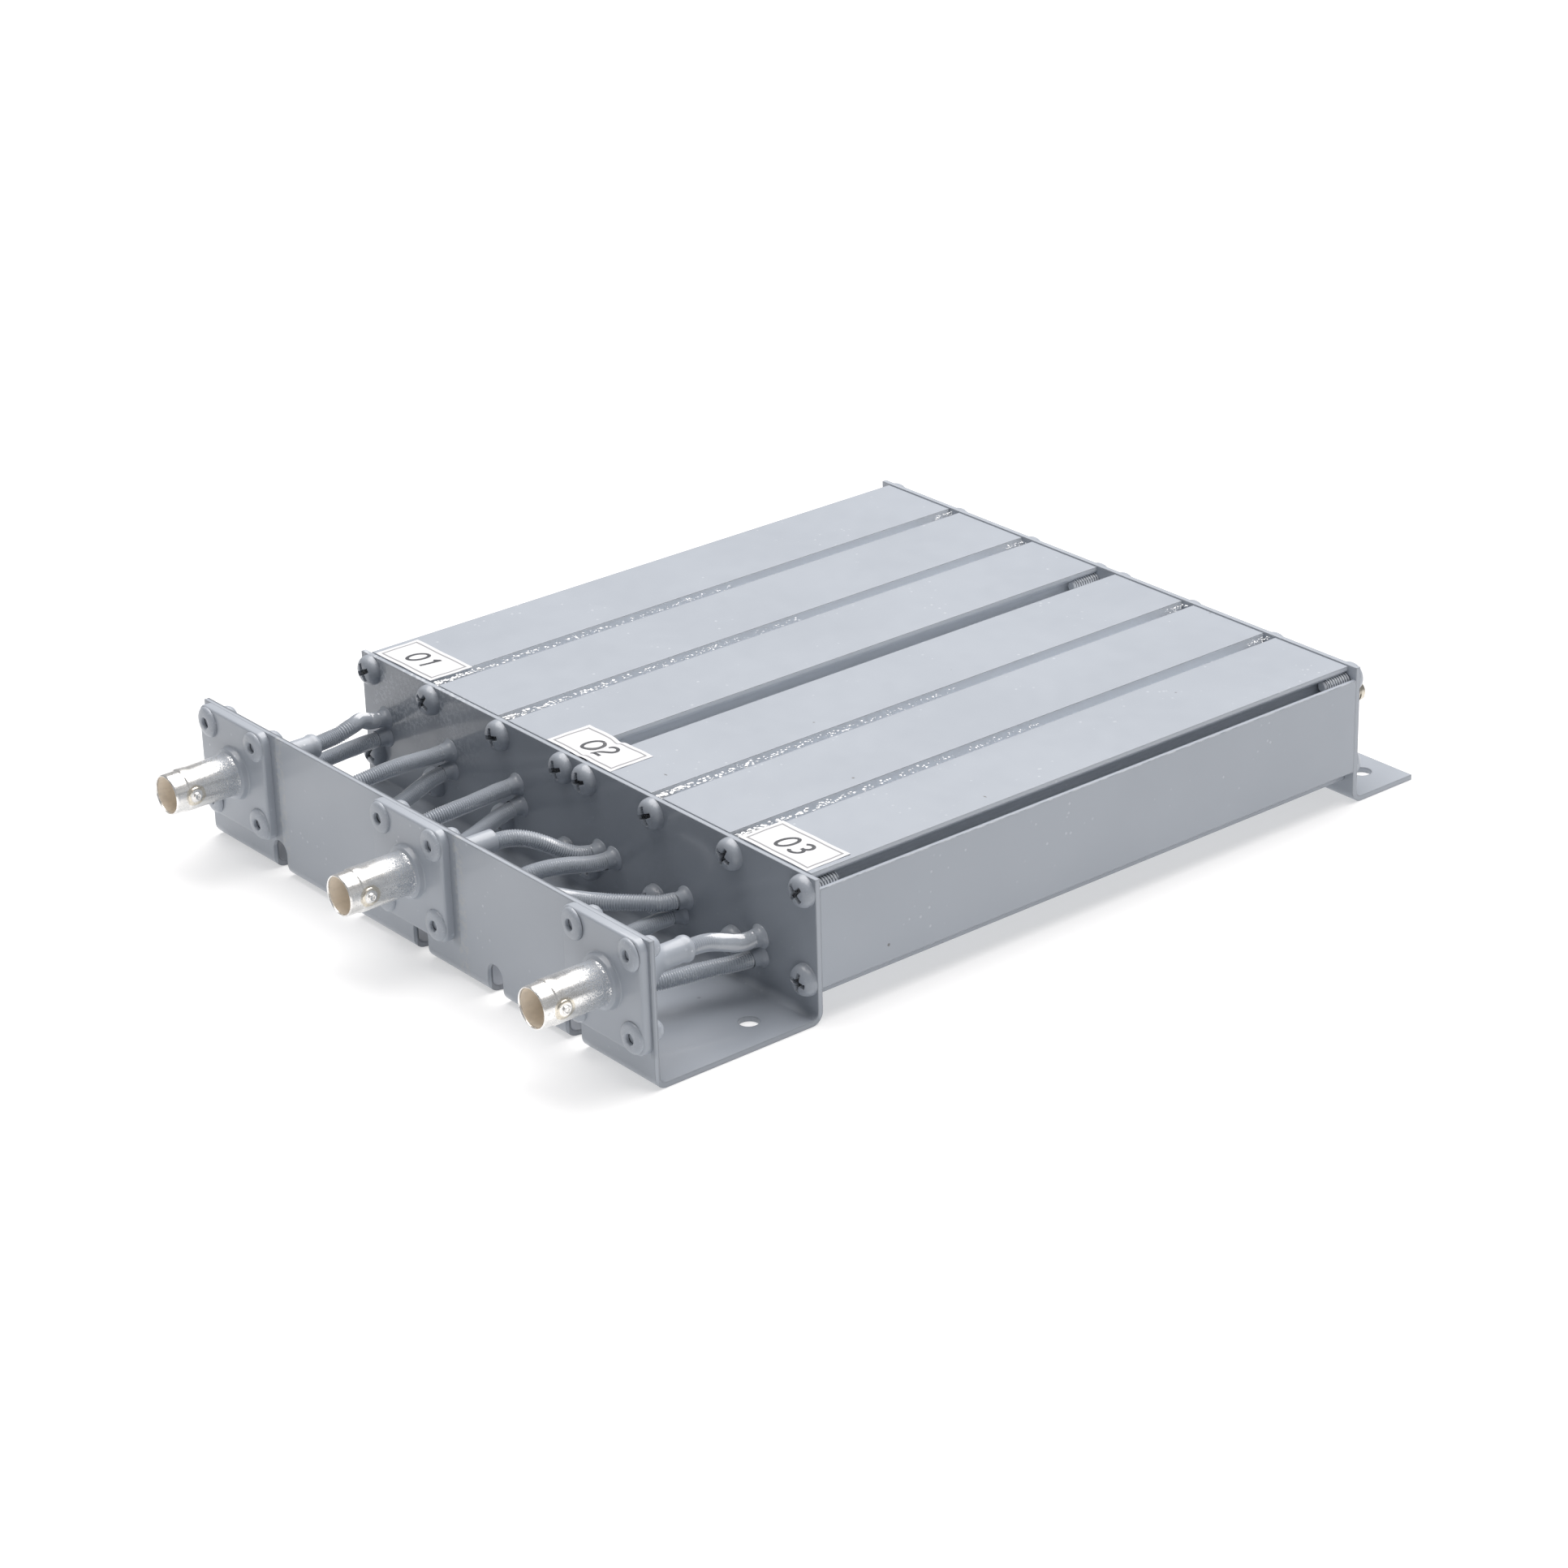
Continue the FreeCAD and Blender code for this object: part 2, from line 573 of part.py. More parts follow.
def make_screws():
    """Pan-head screws that hold the brackets to the extrusions, sixteen at each end."""
    screw = doc.addObject("PartDesign::Body", "assembly_screw")
    head = "Sizes.screw_head_radius"
    point = "Sizes.screw_point"
    turned(screw, "assembly_screw_turned", [
        ("0", "-Sizes.screw_head_height"), ("Sizes.screw_head_crown", "-Sizes.screw_head_height"),
        (head, "-Sizes.screw_head_rim"), (head, "0"), (SCREW_RADIUS, "0"),
        (SCREW_RADIUS, f"{SCREW_LENGTH} - {point}"), (f"{SCREW_RADIUS} - {point}", SCREW_LENGTH),
        ("0", SCREW_LENGTH)])
    for name, y, turned_round in (("front_screws", WALL_FRONT, False), ("rear_screws", PLATE_REAR, True)):
        places = [(column, y, z) for z in (PORT_TOP, PORT_BOTTOM) for column in SCREW_COLUMNS]
        repeat(screw, name, places, turned_round)


def make_resonator(index, chamber):
    """A rod on the end wall, bored at its open end for the tuning screw."""
    body = new_body(f"resonator_body_{index}", chamber, WALL_REAR, CHAMBER_AXIS)
    length = ROD_LENGTH
    turned(body, f"resonator_turned_{index}", [
        ("0", "0"), ("Sizes.rod_neck_radius", "0"), ("Sizes.rod_neck_radius", "Sizes.rod_neck_length"),
        ("Sizes.rod_radius", "Sizes.rod_neck_length"), ("Sizes.rod_radius", length),
        ("Sizes.rod_bore_radius", length), ("Sizes.rod_bore_radius", f"{length} - Sizes.rod_bore_depth"),
        ("0", f"{length} - Sizes.rod_bore_depth")])
    keep(body, f"resonator_rod_{index}")


def make_tuning_screw(index, chamber):
    """A headless screw with a slot at its rear end."""
    body = new_body(f"tuner_body_{index}", chamber, f"({PLATE_REAR} + Sizes.tuner_stand)", CHAMBER_AXIS)
    length = "Sizes.tuner_length"
    radius = "Sizes.tuner_radius"
    turned(body, f"tuner_turned_{index}", [
        ("0", f"-{length}"), (radius, f"-{length}"), (radius, "0"), ("0", "0")])
    slot = new_sketch(body, f"tuner_slot_{index}", "YZ_Plane")
    half = "Sizes.tuner_slot_width / 2"
    draw_box(slot, "-Sizes.tuner_slot_depth", "1", f"-{half}", half)
    pocket(body, slot, f"tuner_slot_cut_{index}", side="Symmetric")
    keep(body, f"tuning_screw_{index}")


def make_nuts_and_bushings():
    nut = doc.addObject("PartDesign::Body", "lock_nut")
    hexagon = new_sketch(nut, "hexagon", "XZ_Plane")
    corner = "Sizes.nut_across_flats / sqrt(3)"
    draw_outline(hexagon, [(f"{corner} * cos({60 * step})", f"{corner} * sin({60 * step})")
                           for step in range(6)])
    pad(nut, hexagon, "nut_blank", "Sizes.nut_thickness", backwards=True)
    bore = new_sketch(nut, "nut_bore", "XZ_Plane")
    draw_circle(bore, "0", "0", TUNER_BORE)
    pocket(nut, bore, "nut_bore_cut", "Sizes.nut_thickness")
    repeat(nut, "lock_nuts", [(chamber, PLATE_REAR, CHAMBER_AXIS) for chamber in CHAMBERS])

    bushing = doc.addObject("PartDesign::Body", "tuning_bushing")
    turned(bushing, "bushing_turned", [
        (TUNER_BORE, "-Sizes.bushing_flange"), ("Sizes.bushing_flange_radius", "-Sizes.bushing_flange"),
        ("Sizes.bushing_flange_radius", "0"), (BUSHING_RADIUS, "0"), (BUSHING_RADIUS, "Sizes.sheet"),
        (TUNER_BORE, "Sizes.sheet")])
    repeat(bushing, "tuning_bushings", [(chamber, PLATE_FRONT, CHAMBER_AXIS) for chamber in CHAMBERS])


def rivet_places(jack):
    """The four rivets about a jack's axis, in the building frame."""
    return [(f"{jack} + ({across}) * {RIVET_OFFSET}", f"{JACK_HEIGHT} + ({up}) * {RIVET_OFFSET}")
            for across in (-1, 1) for up in (-1, 1)]


def make_jack(index, jack):
    """Shell, insulator, centre contact and hood of one jack, each on the jack's own axis."""
    shell = new_body(f"jack_shell_{index}", jack, "0", JACK_HEIGHT)
    half = "Sizes.flange_size / 2"
    flange = new_sketch(shell, f"flange_{index}", "XZ_Plane")
    draw_box(flange, f"-{half}", half, f"-{half}", half, "Sizes.flange_round")
    pad(shell, flange, f"flange_plate_{index}", "Sizes.flange_thickness")
    barrel = "Sizes.barrel_radius"
    nose_radius = "Sizes.barrel_nose_radius"
    shoulder = "(-Sizes.jack_reach + Sizes.barrel_nose)"
    edge = "Sizes.barrel_edge"
    collar = "Sizes.collar_radius"
    collar_front = "-(Sizes.flange_thickness + Sizes.collar_length)"
    turned(shell, f"barrel_{index}", [
        ("0", "-Sizes.jack_reach"), (f"{nose_radius} - {edge}", "-Sizes.jack_reach"),
        (nose_radius, f"-Sizes.jack_reach + {edge}"), (nose_radius, shoulder), (barrel, shoulder),
        (barrel, collar_front),
        (f"{collar} - Sizes.collar_edge", collar_front),
        (collar, f"{collar_front} + Sizes.collar_edge"), (collar, "-Sizes.flange_thickness / 2"),
        ("Sizes.spigot_radius", "-Sizes.flange_thickness / 2"),
        ("Sizes.spigot_radius", "Sizes.spigot_length"), ("0", "Sizes.spigot_length")])
    lugs = new_sketch(shell, f"lugs_{index}", "YZ_Plane")
    draw_circle(lugs, "-Sizes.jack_reach + Sizes.lug_back", "0", "Sizes.lug_radius")
    pad(shell, lugs, f"lug_pins_{index}", "2 * Sizes.lug_reach", side="Symmetric")
    turned(shell, f"barrel_bore_{index}", [
        ("0", "-Sizes.jack_reach - 1"), ("Sizes.mouth_radius", "-Sizes.jack_reach - 1"),
        ("Sizes.mouth_radius", f"-{MOUTH_FLOOR}"), (SHELL_BORE, f"-{MOUTH_FLOOR}"),
        (SHELL_BORE, "Sizes.spigot_length + 1"), ("0", "Sizes.spigot_length + 1")],
        kind="PartDesign::Groove")
    holes = new_sketch(shell, f"flange_holes_{index}", "XZ_Plane", "Sizes.flange_thickness")
    for across in (-1, 1):
        for up in (-1, 1):
            draw_circle(holes, f"({across}) * {RIVET_OFFSET}", f"({up}) * {RIVET_OFFSET}",
                        "Sizes.rivet_radius + Sizes.rivet_hole_fit")
    pocket(shell, holes, f"flange_hole_cut_{index}", "Sizes.flange_thickness")
    keep(shell, f"jack_body_{index}")

    insulator = new_body(f"insulator_{index}", jack, "0", JACK_HEIGHT)
    nose = "Sizes.insulator_nose_radius"
    nose_tip = f"-({MOUTH_FLOOR} + Sizes.insulator_nose)"
    turned(insulator, f"insulator_turned_{index}", [
        (INSULATOR_BORE, nose_tip), (nose, nose_tip), (nose, f"-{MOUTH_FLOOR}"),
        ("Sizes.insulator_radius", f"-{MOUTH_FLOOR}"), ("Sizes.insulator_radius", "Sizes.spigot_length"),
        (INSULATOR_BORE, "Sizes.spigot_length")])
    keep(insulator, f"jack_insulator_{index}")

    contact = new_body(f"contact_{index}", jack, "0", JACK_HEIGHT)
    pin = "Sizes.contact_radius"
    pin_tip = f"-({MOUTH_FLOOR} + Sizes.contact_nose)"
    socket = "Sizes.contact_socket_radius"
    tail = "Sizes.contact_tail_radius"
    socket_floor = f"{pin_tip} + Sizes.contact_socket_depth"
    turned(contact, f"contact_turned_{index}", [
        ("0", socket_floor), (socket, socket_floor), (socket, pin_tip), (pin, pin_tip),
        (pin, "Sizes.spigot_length"), (tail, "Sizes.spigot_length"), (tail, CABLE_START),
        ("0", CABLE_START)])
    keep(contact, f"jack_contact_{index}")


def make_hood(index, jack, branched):
    """The cup, cone and ferrule over a jack's solder end, with a side ferrule where two links meet."""
    hood = new_body(f"hood_turned_{index}", jack, "0", JACK_HEIGHT)
    outer = "Sizes.hood_radius"
    cup = "Sizes.hood_radius - Sizes.hood_wall"
    turned(hood, f"hood_shell_{index}", [
        (cup, "Sizes.sheet"), (outer, "Sizes.sheet"), (outer, HOOD_SHOULDER),
        (FERRULE_RADIUS, HOOD_NECK), (FERRULE_RADIUS, HOOD_END), (CABLE_BORE, HOOD_END),
        (CABLE_BORE, CABLE_START), (cup, f"{HOOD_SHOULDER} - Sizes.hood_wall / 2")])
    if not branched:
        keep(hood, f"jack_hood_{index}")
        return
    tube = branch_cylinder("branch_tube", jack, FERRULE_RADIUS, "Sizes.branch_inset")
    joined = doc.addObject("Part::Fuse", "branched_hood")
    joined.Base = hood
    joined.Tool = tube
    inside = new_body("hood_inside", jack, "0", JACK_HEIGHT)
    turned(inside, "hood_inside_turned", [
        ("0", "Sizes.sheet"), (cup, "Sizes.sheet"), (cup, f"{HOOD_SHOULDER} - Sizes.hood_wall / 2"),
        (CABLE_BORE, CABLE_START), (CABLE_BORE, HOOD_END), ("0", HOOD_END)])
    hollow = doc.addObject("Part::Cut", "hollow_hood")
    hollow.Base = joined
    hollow.Tool = inside
    bored = doc.addObject("Part::Cut", f"hood_bored_{index}")
    bored.Base = hollow
    bored.Tool = branch_cylinder("branch_bore", jack, CABLE_BORE, "0")
    keep(bored, f"jack_hood_{index}")


def branch_cylinder(name, jack, radius, start):
    """A cylinder along the side link, from a distance off the jack's axis to the branch's end."""
    cylinder = doc.addObject("Part::Cylinder", name)
    turn = Rotation(Vector(0, 0, 1), BRANCH_DIRECTION)
    cylinder.Placement = Placement(Vector(), turn)
    cylinder.setExpression("Radius", radius)
    cylinder.setExpression("Height", f"Sizes.branch_reach - {start}")
    way = BRANCH_DIRECTION
    place(cylinder, f"{jack} + ({way.x}) * {start}", f"({BRANCH_Y} + ({way.y}) * {start})",
          f"{JACK_HEIGHT} + ({way.z}) * {start}")
    return cylinder


def make_rivets():
    """Blind rivets through flange and panel, four to each jack."""
    rivet = doc.addObject("PartDesign::Body", "blind_rivet")
    radius = "Sizes.rivet_radius"
    head = "Sizes.rivet_head_radius"
    bore = "Sizes.rivet_bore_radius"
    tail = "Sizes.rivet_tail_radius"
    grip = "(Sizes.flange_thickness + Sizes.sheet)"
    tip = f"({grip} + Sizes.rivet_tail_length)"
    edge = "Sizes.rivet_head_edge"
    tail_edge = "Sizes.rivet_tail_edge"
    turned(rivet, "blind_rivet_turned", [
        (bore, "-Sizes.rivet_head_height"), (f"{head} - {edge}", "-Sizes.rivet_head_height"),
        (head, f"-Sizes.rivet_head_height + {edge}"), (head, "0"), (radius, "0"), (radius, grip),
        (tail, grip), (tail, f"{tip} - {tail_edge}"), (f"{tail} - {tail_edge}", tip), ("0", tip),
        ("0", "Sizes.rivet_bore_depth"), (bore, "Sizes.rivet_bore_depth")])
    places = [(x, "-Sizes.flange_thickness", z) for jack in JACKS for x, z in rivet_places(jack)]
    repeat(rivet, "jack_rivets", places)


def entry_place(entry):
    """Where a link crosses the end wall, as expressions of x and z."""
    across, up, turn = ENTRIES[entry]
    start = CHAMBERS[CAVITY_NAMES.index(entry.split("_")[0])]
    if turn == "down":
        start = f"{start} - {CHAMBER_WIDTH} / 2"
    return f"{start} + ({across})", f"{CHAMBER_AXIS} + ({up})"


def entry_point(entry, y):
    x, z = entry_place(entry)
    return Vector(number(x), number(y), number(z))


def rounded_path(points):
    """Straight runs joined by tangent arcs, each arc as large as its two runs allow."""
    edges = []
    radii = []
    start = points[0]
    for before, corner, after in zip(points, points[1:], points[2:]):
        arriving = corner - before
        leaving = after - corner
        reach = ARC_SHARE * min(arriving.Length, leaving.Length)
        half_turn = arriving.getAngle(leaving) / 2
        radius = reach / math.tan(half_turn)
        arriving.normalize()
        leaving.normalize()
        inward = (leaving - arriving).normalize()
        entry = corner - arriving * reach
        leave = corner + leaving * reach
        middle = corner + inward * (radius / math.cos(half_turn) - radius)
        edges.append(Part.LineSegment(start, entry).toShape())
        edges.append(Part.Arc(entry, middle, leave).toShape())
        radii.append(radius)
        start = leave
    edges.append(Part.LineSegment(start, points[-1]).toShape())
    return Part.Wire(edges), radii


def sweep_wire(name, path, radius):
    """A round wire or cable of the given radius along a path, mitred where the path has corners."""
    spine = doc.addObject("Part::Feature", f"{name}_path")
    spine.Shape = path
    section = doc.addObject("Part::Circle", f"{name}_section")
    section.setExpression("Radius", radius)
    first = path.Edges[0]
    start = first.valueAt(first.FirstParameter)
    way = first.tangentAt(first.FirstParameter)
    section.Placement = Placement(start, Rotation(Vector(0, 0, 1), way))
    tube = doc.addObject("Part::Sweep", f"{name}_tube")
    tube.Sections = [section]
    tube.Spine = (spine, [f"Edge{index + 1}" for index in range(len(path.Edges))])
    tube.Solid = True
    tube.Transition = "Right corner"
    place(tube)
    return tube


def link_end(end):
    """The two fixed points at one end of a link: its very end, then where it is free to turn."""
    if end.startswith("jack"):
        jack = number(JACKS[int(end.split()[1])])
        height = number(JACK_HEIGHT)
        free = number(f"{HOOD_END} + Sizes.cable_lead")
        return [Vector(jack, number(CABLE_START), height), Vector(jack, free, height)]
    if end == "branch":
        axis = Vector(number(JACKS[1]), number(BRANCH_Y), number(JACK_HEIGHT))
        free = number("Sizes.branch_reach + Sizes.cable_lead")
        return [axis + BRANCH_DIRECTION * number("Sizes.branch_inset"), axis + BRANCH_DIRECTION * free]
    return [entry_point(end, WALL_REAR), entry_point(end, f"{WALL_REAR} - Sizes.cable_exit")]


def make_links():
    """Coaxial links between the jacks and the cavities, each held at both ends."""
    stretch = number("Sizes.unit_width / Sizes.route_width")
    for name, (first, last, middle) in ROUTES.items():
        middle = [Vector(x * stretch, y, z) for x, y, z in middle]
        points = link_end(first) + middle + link_end(last)[::-1]
        path, radii = rounded_path(points)
        tube = keep(sweep_wire(name, path, "Sizes.cable_radius"), name)
        links.append((tube, path.Length, radii))


def make_coupling_loops():
    """The bared centre wire of each link, bent square back to the end wall inside its cavity."""
    depth = Vector(0, number("Sizes.loop_depth"), 0)
    span = number("Sizes.loop_span")
    wires = []
    for entry, facts in ENTRIES.items():
        start = entry_point(entry, WALL_REAR)
        side = TURNS[facts[2]] * span
        corners = [start, start + depth, start + depth + side, start + side]
        wires.append(sweep_wire(f"loop_{entry}", Part.makePolygon(corners), "Sizes.loop_wire_radius"))
    group("coupling_loops", wires)


def make_entry_rings():
    """Flared rings round the links on the front of the end wall."""
    ring = doc.addObject("PartDesign::Body", "entry_ring")
    outer = "Sizes.ring_radius"
    length = "Sizes.ring_length"
    waist = f"({CABLE_BORE} + ({outer} - {CABLE_BORE}) / 2)"
    turned(ring, "entry_ring_turned", [
        (CABLE_BORE, f"-{length}"), (waist, f"-{length}"), (outer, "0"), (CABLE_BORE, "0")])
    places = []
    for entry in ENTRIES:
        x, z = entry_place(entry)
        places.append((x, WALL_FRONT, z))
    repeat(ring, "cable_entry_rings", places)


def make_labels():
    """Thin paper labels on top of the extrusions, behind the end wall."""
    edge = "Sizes.unit_width / 2 - Sizes.label_inset"
    labels = [("label_left", f"-({edge})", "Sizes.label_side_width"),
              ("label_middle", "-Sizes.label_middle_width / 2", "Sizes.label_middle_width"),
              ("label_right", f"{edge} - Sizes.label_side_width", "Sizes.label_side_width")]
    for name, left, width in labels:
        label = doc.addObject("Part::Box", f"{name}_slip")
        label.setExpression("Length", width)
        label.setExpression("Width", "Sizes.label_length")
        label.setExpression("Height", "Sizes.label_thickness")
        place(label, left, WALL_REAR, PROFILE_TOP)
        keep(label, name)


links = []
make_front_bracket()
make_rear_bracket()
make_profile("left_cavity_profile", PROFILE_CENTRES[0])
make_profile("right_cavity_profile", PROFILE_CENTRES[1])
make_screws()
for number_in_row, chamber_x in enumerate(CHAMBERS, start=1):
    make_resonator(number_in_row, chamber_x)
    make_tuning_screw(number_in_row, chamber_x)
make_nuts_and_bushings()
for number_in_row, jack_x in enumerate(JACKS, start=1):
    make_jack(number_in_row, jack_x)
    make_hood(number_in_row, jack_x, branched=number_in_row == 2)
make_rivets()
make_links()
make_coupling_loops()
make_entry_rings()
make_labels()
doc.recompute()

for item in doc.Objects:
    if "Invalid" in item.State or "Error" in item.State:
        raise RuntimeError(f"{item.Name} failed: {item.State}")
for piece in parts:
    if piece.Shape.isNull() or not piece.Shape.isValid() or not piece.Shape.Solids:
        raise RuntimeError(f"{piece.Label} has no valid solid")
for tube, length, radii in links:
    section_area = math.pi * number("Sizes.cable_radius") ** 2
    if abs(tube.Shape.Volume / (section_area * length) - 1) > 0.01:
        raise RuntimeError(f"{tube.Label} doesn't fill its route")
    print(tube.Label, "bend radii", [round(radius, 1) for radius in radii])
for piece in parts:
    piece.Shape.exportStep(f"parts/{piece.Label}.step")
print(len(parts), "sub-parts written")
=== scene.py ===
import bpy
import math
import random
from mathutils import Matrix, Vector


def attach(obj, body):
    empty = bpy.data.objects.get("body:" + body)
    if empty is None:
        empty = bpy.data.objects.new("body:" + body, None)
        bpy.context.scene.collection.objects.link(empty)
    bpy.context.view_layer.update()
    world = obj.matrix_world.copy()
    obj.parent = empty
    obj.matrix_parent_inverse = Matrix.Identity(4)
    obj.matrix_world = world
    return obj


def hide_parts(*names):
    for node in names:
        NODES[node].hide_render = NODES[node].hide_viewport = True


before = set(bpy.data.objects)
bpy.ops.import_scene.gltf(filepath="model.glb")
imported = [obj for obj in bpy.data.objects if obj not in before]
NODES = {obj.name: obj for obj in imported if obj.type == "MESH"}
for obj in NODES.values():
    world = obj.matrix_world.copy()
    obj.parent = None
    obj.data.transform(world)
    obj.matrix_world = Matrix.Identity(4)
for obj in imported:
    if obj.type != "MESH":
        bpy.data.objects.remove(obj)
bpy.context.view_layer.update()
ROOT = "duplexer"
MM = 0.001
random.seed(7)

# Shared places of the unit, in millimetres, y rearward from the panel's front face
SHIFT_Y = -98.35
SHEET = 1.2
WALL_FRONT = 41.7
WALL_REAR = 42.9
PLATE_FRONT = 196.9
PLATE_REAR = 198.1
PROFILE_TOP = 32.6
CHAMBER_Z = 18.9
CHAMBERS = [-66.35, -40.25, -14.15, 14.15, 40.25, 66.35]
PORT_X = [-76.4, -53.3, -27.2, -4.1, 4.1, 27.2, 53.3, 76.4]
PORT_Z = [28.9, 8.9]
PORT_MOUTH = 2.7
WEBS = [-53.3, -27.2, 27.2, 53.3]
JACKS = [-66.7, 0.0, 66.7]
JACK_Z = 20.2
LUG_Y = -14.6
# How much painted light brightens a port's inside, by the port's distance from the middle
PORT_PAINTED_LIGHT = {4.1: 0.75, 27.2: 0.68, 53.3: 0.68, 76.4: 0.25}
# The two dark marks in the paint of the top
TOP_MARKS = [(20.2, 50.7), (73.8, 92.7)]


def row(x, y, z):
    """A place in millimetres, y from the panel's front face, as metres in the row frame."""
    return Vector((x, y + SHIFT_Y, z)) * MM


def depth(y):
    """The row frame's y in metres, y millimetres behind the panel's front face."""
    return (y + SHIFT_Y) * MM


# Shader building

class Nodes:
    """A small helper round one material's node tree."""

    def __init__(self, name):
        self.material = bpy.data.materials.new(name)
        self.material.use_nodes = True
        self.tree = self.material.node_tree
        self.shader = self.tree.nodes["Principled BSDF"]
        self.places = self.tree.nodes.new("ShaderNodeTexCoord").outputs

    def node(self, kind, inputs=None, **values):
        """A new node with its settings, and with a value or another node's output for each input."""
        made = self.tree.nodes.new(kind)
        for key, value in values.items():
            setattr(made, key, value)
        for key, value in (inputs or {}).items():
            self.put(made.inputs[key], value)
        return made

    def put(self, socket, value):
        """Set a socket to a number or colour, or join it to another node's output."""
        if isinstance(value, bpy.types.NodeSocket):
            self.tree.links.new(value, socket)
        elif isinstance(value, (tuple, list)):
            socket.default_value = tuple(value) + (1.0,) if len(socket.default_value) == 4 else tuple(value)
        else:
            socket.default_value = value

    def set(self, name, value):
        self.put(self.shader.inputs[name], value)

    def noise(self, scale, detail=3.0, roughness=0.5, stretch=(1, 1, 1)):
        place = self.node("ShaderNodeMapping", {"Vector": self.places["Object"], "Scale": stretch})
        inputs = {"Vector": place.outputs["Vector"], "Scale": scale, "Detail": detail,
                  "Roughness": roughness}
        return self.node("ShaderNodeTexNoise", inputs).outputs["Fac"]

    def spots(self, scale, size):
        """Round spots scattered at random, 1 inside and 0 outside."""
        inputs = {"Vector": self.places["Object"], "Scale": scale}
        distance = self.node("ShaderNodeTexVoronoi", inputs).outputs["Distance"]
        return self.ramp(distance, size, size * 0.6)

    def ramp(self, value, low, high):
        """0 below low and 1 above high, the other way round where low is the larger."""
        inputs = {"Value": value, "From Min": min(low, high), "From Max": max(low, high),
                  "To Min": float(low >= high), "To Max": float(low < high)}
        return self.node("ShaderNodeMapRange", inputs, interpolation_type="SMOOTHSTEP").outputs["Result"]

    def math(self, operation, first, second=0.0):
        return self.node("ShaderNodeMath", {0: first, 1: second}, operation=operation).outputs[0]

    def fold(self, operation, values):
        """One value from several, taken in one after the other."""
        result, *others = values
        for value in others:
            result = self.math(operation, result, value)
        return result

    def times(self, *values):
        return self.fold("MULTIPLY", values)

    def minus(self, *values):
        return self.fold("SUBTRACT", values)

    def plus(self, *values):
        return self.fold("ADD", values)

    def most(self, values):
        return self.fold("MAXIMUM", values)

    def mix(self, amount, first, second):
        inputs = {"Factor": amount, 6: first, 7: second}
        return self.node("ShaderNodeMix", inputs, data_type="RGBA").outputs[2]

    def axes(self):
        return self.node("ShaderNodeSeparateXYZ", {0: self.places["Object"]}).outputs

    def band(self, value, low, high, soft):
        """1 between low and high, falling to 0 over soft on both sides."""
        rise = self.ramp(value, low - soft, low)
        fall = self.ramp(value, high + soft, high)
        return self.times(rise, fall)

    def surface(self, colour, rough, metallic=0.0):
        self.set("Base Color", colour)
        self.set("Roughness", rough)
        self.set("Metallic", metallic)

    def relief(self, height, strength, distance, rounding=0.0):
        """Bump from a height, on top of rounded edges where a radius is given."""
        bump = self.node("ShaderNodeBump", {"Strength": strength, "Distance": distance, "Height": height})
        if rounding:
            bevel = self.node("ShaderNodeBevel", {"Radius": rounding}, samples=4)
            self.put(bump.inputs["Normal"], bevel.outputs["Normal"])
        self.set("Normal", bump.outputs["Normal"])


PAINT = (0.355, 0.388, 0.436)
PAINT_DARK = (0.340, 0.372, 0.419)
# The darker tone used for painted shade
PAINT_SHADE = (0.235, 0.260, 0.298)
PAINT_LIGHT = (0.66, 0.69, 0.73)


def paint(name, rounding=0.0003, dust=0.35, extra=None, peel=0.35, gloss=0.30):
    """Semi-gloss blue-grey spray paint with orange peel, dust nibs and a few pale flecks."""
    m = Nodes(name)
    cloud = m.noise(28.0, 4.0)
    grain = m.noise(1100.0, 3.0, 0.6)
    colour = m.mix(m.ramp(cloud, 0.35, 0.65), PAINT_DARK, PAINT)
    speck_mask = m.times(m.spots(420.0, 0.16), m.ramp(m.noise(60.0), 0.52, 0.62))
    colour = m.mix(m.times(speck_mask, dust), colour, PAINT_LIGHT)
    dark_mask = m.times(m.spots(90.0, 0.045), m.ramp(m.noise(35.0), 0.5, 0.55))
    colour = m.mix(m.times(dark_mask, 0.75), colour, (0.09, 0.08, 0.07))
    height = m.plus(m.times(grain, peel), m.times(speck_mask, 0.6))
    rough = m.plus(m.times(m.noise(220.0, 3.0), 0.16), 0.30)
    if extra:
        colour, rough, height = extra(m, colour, rough, height)
    m.surface(colour, rough)
    m.set("Coat Weight", gloss)
    m.set("Coat Roughness", 0.08)
    m.relief(height, 0.5, 0.00006, rounding)
    return m.material


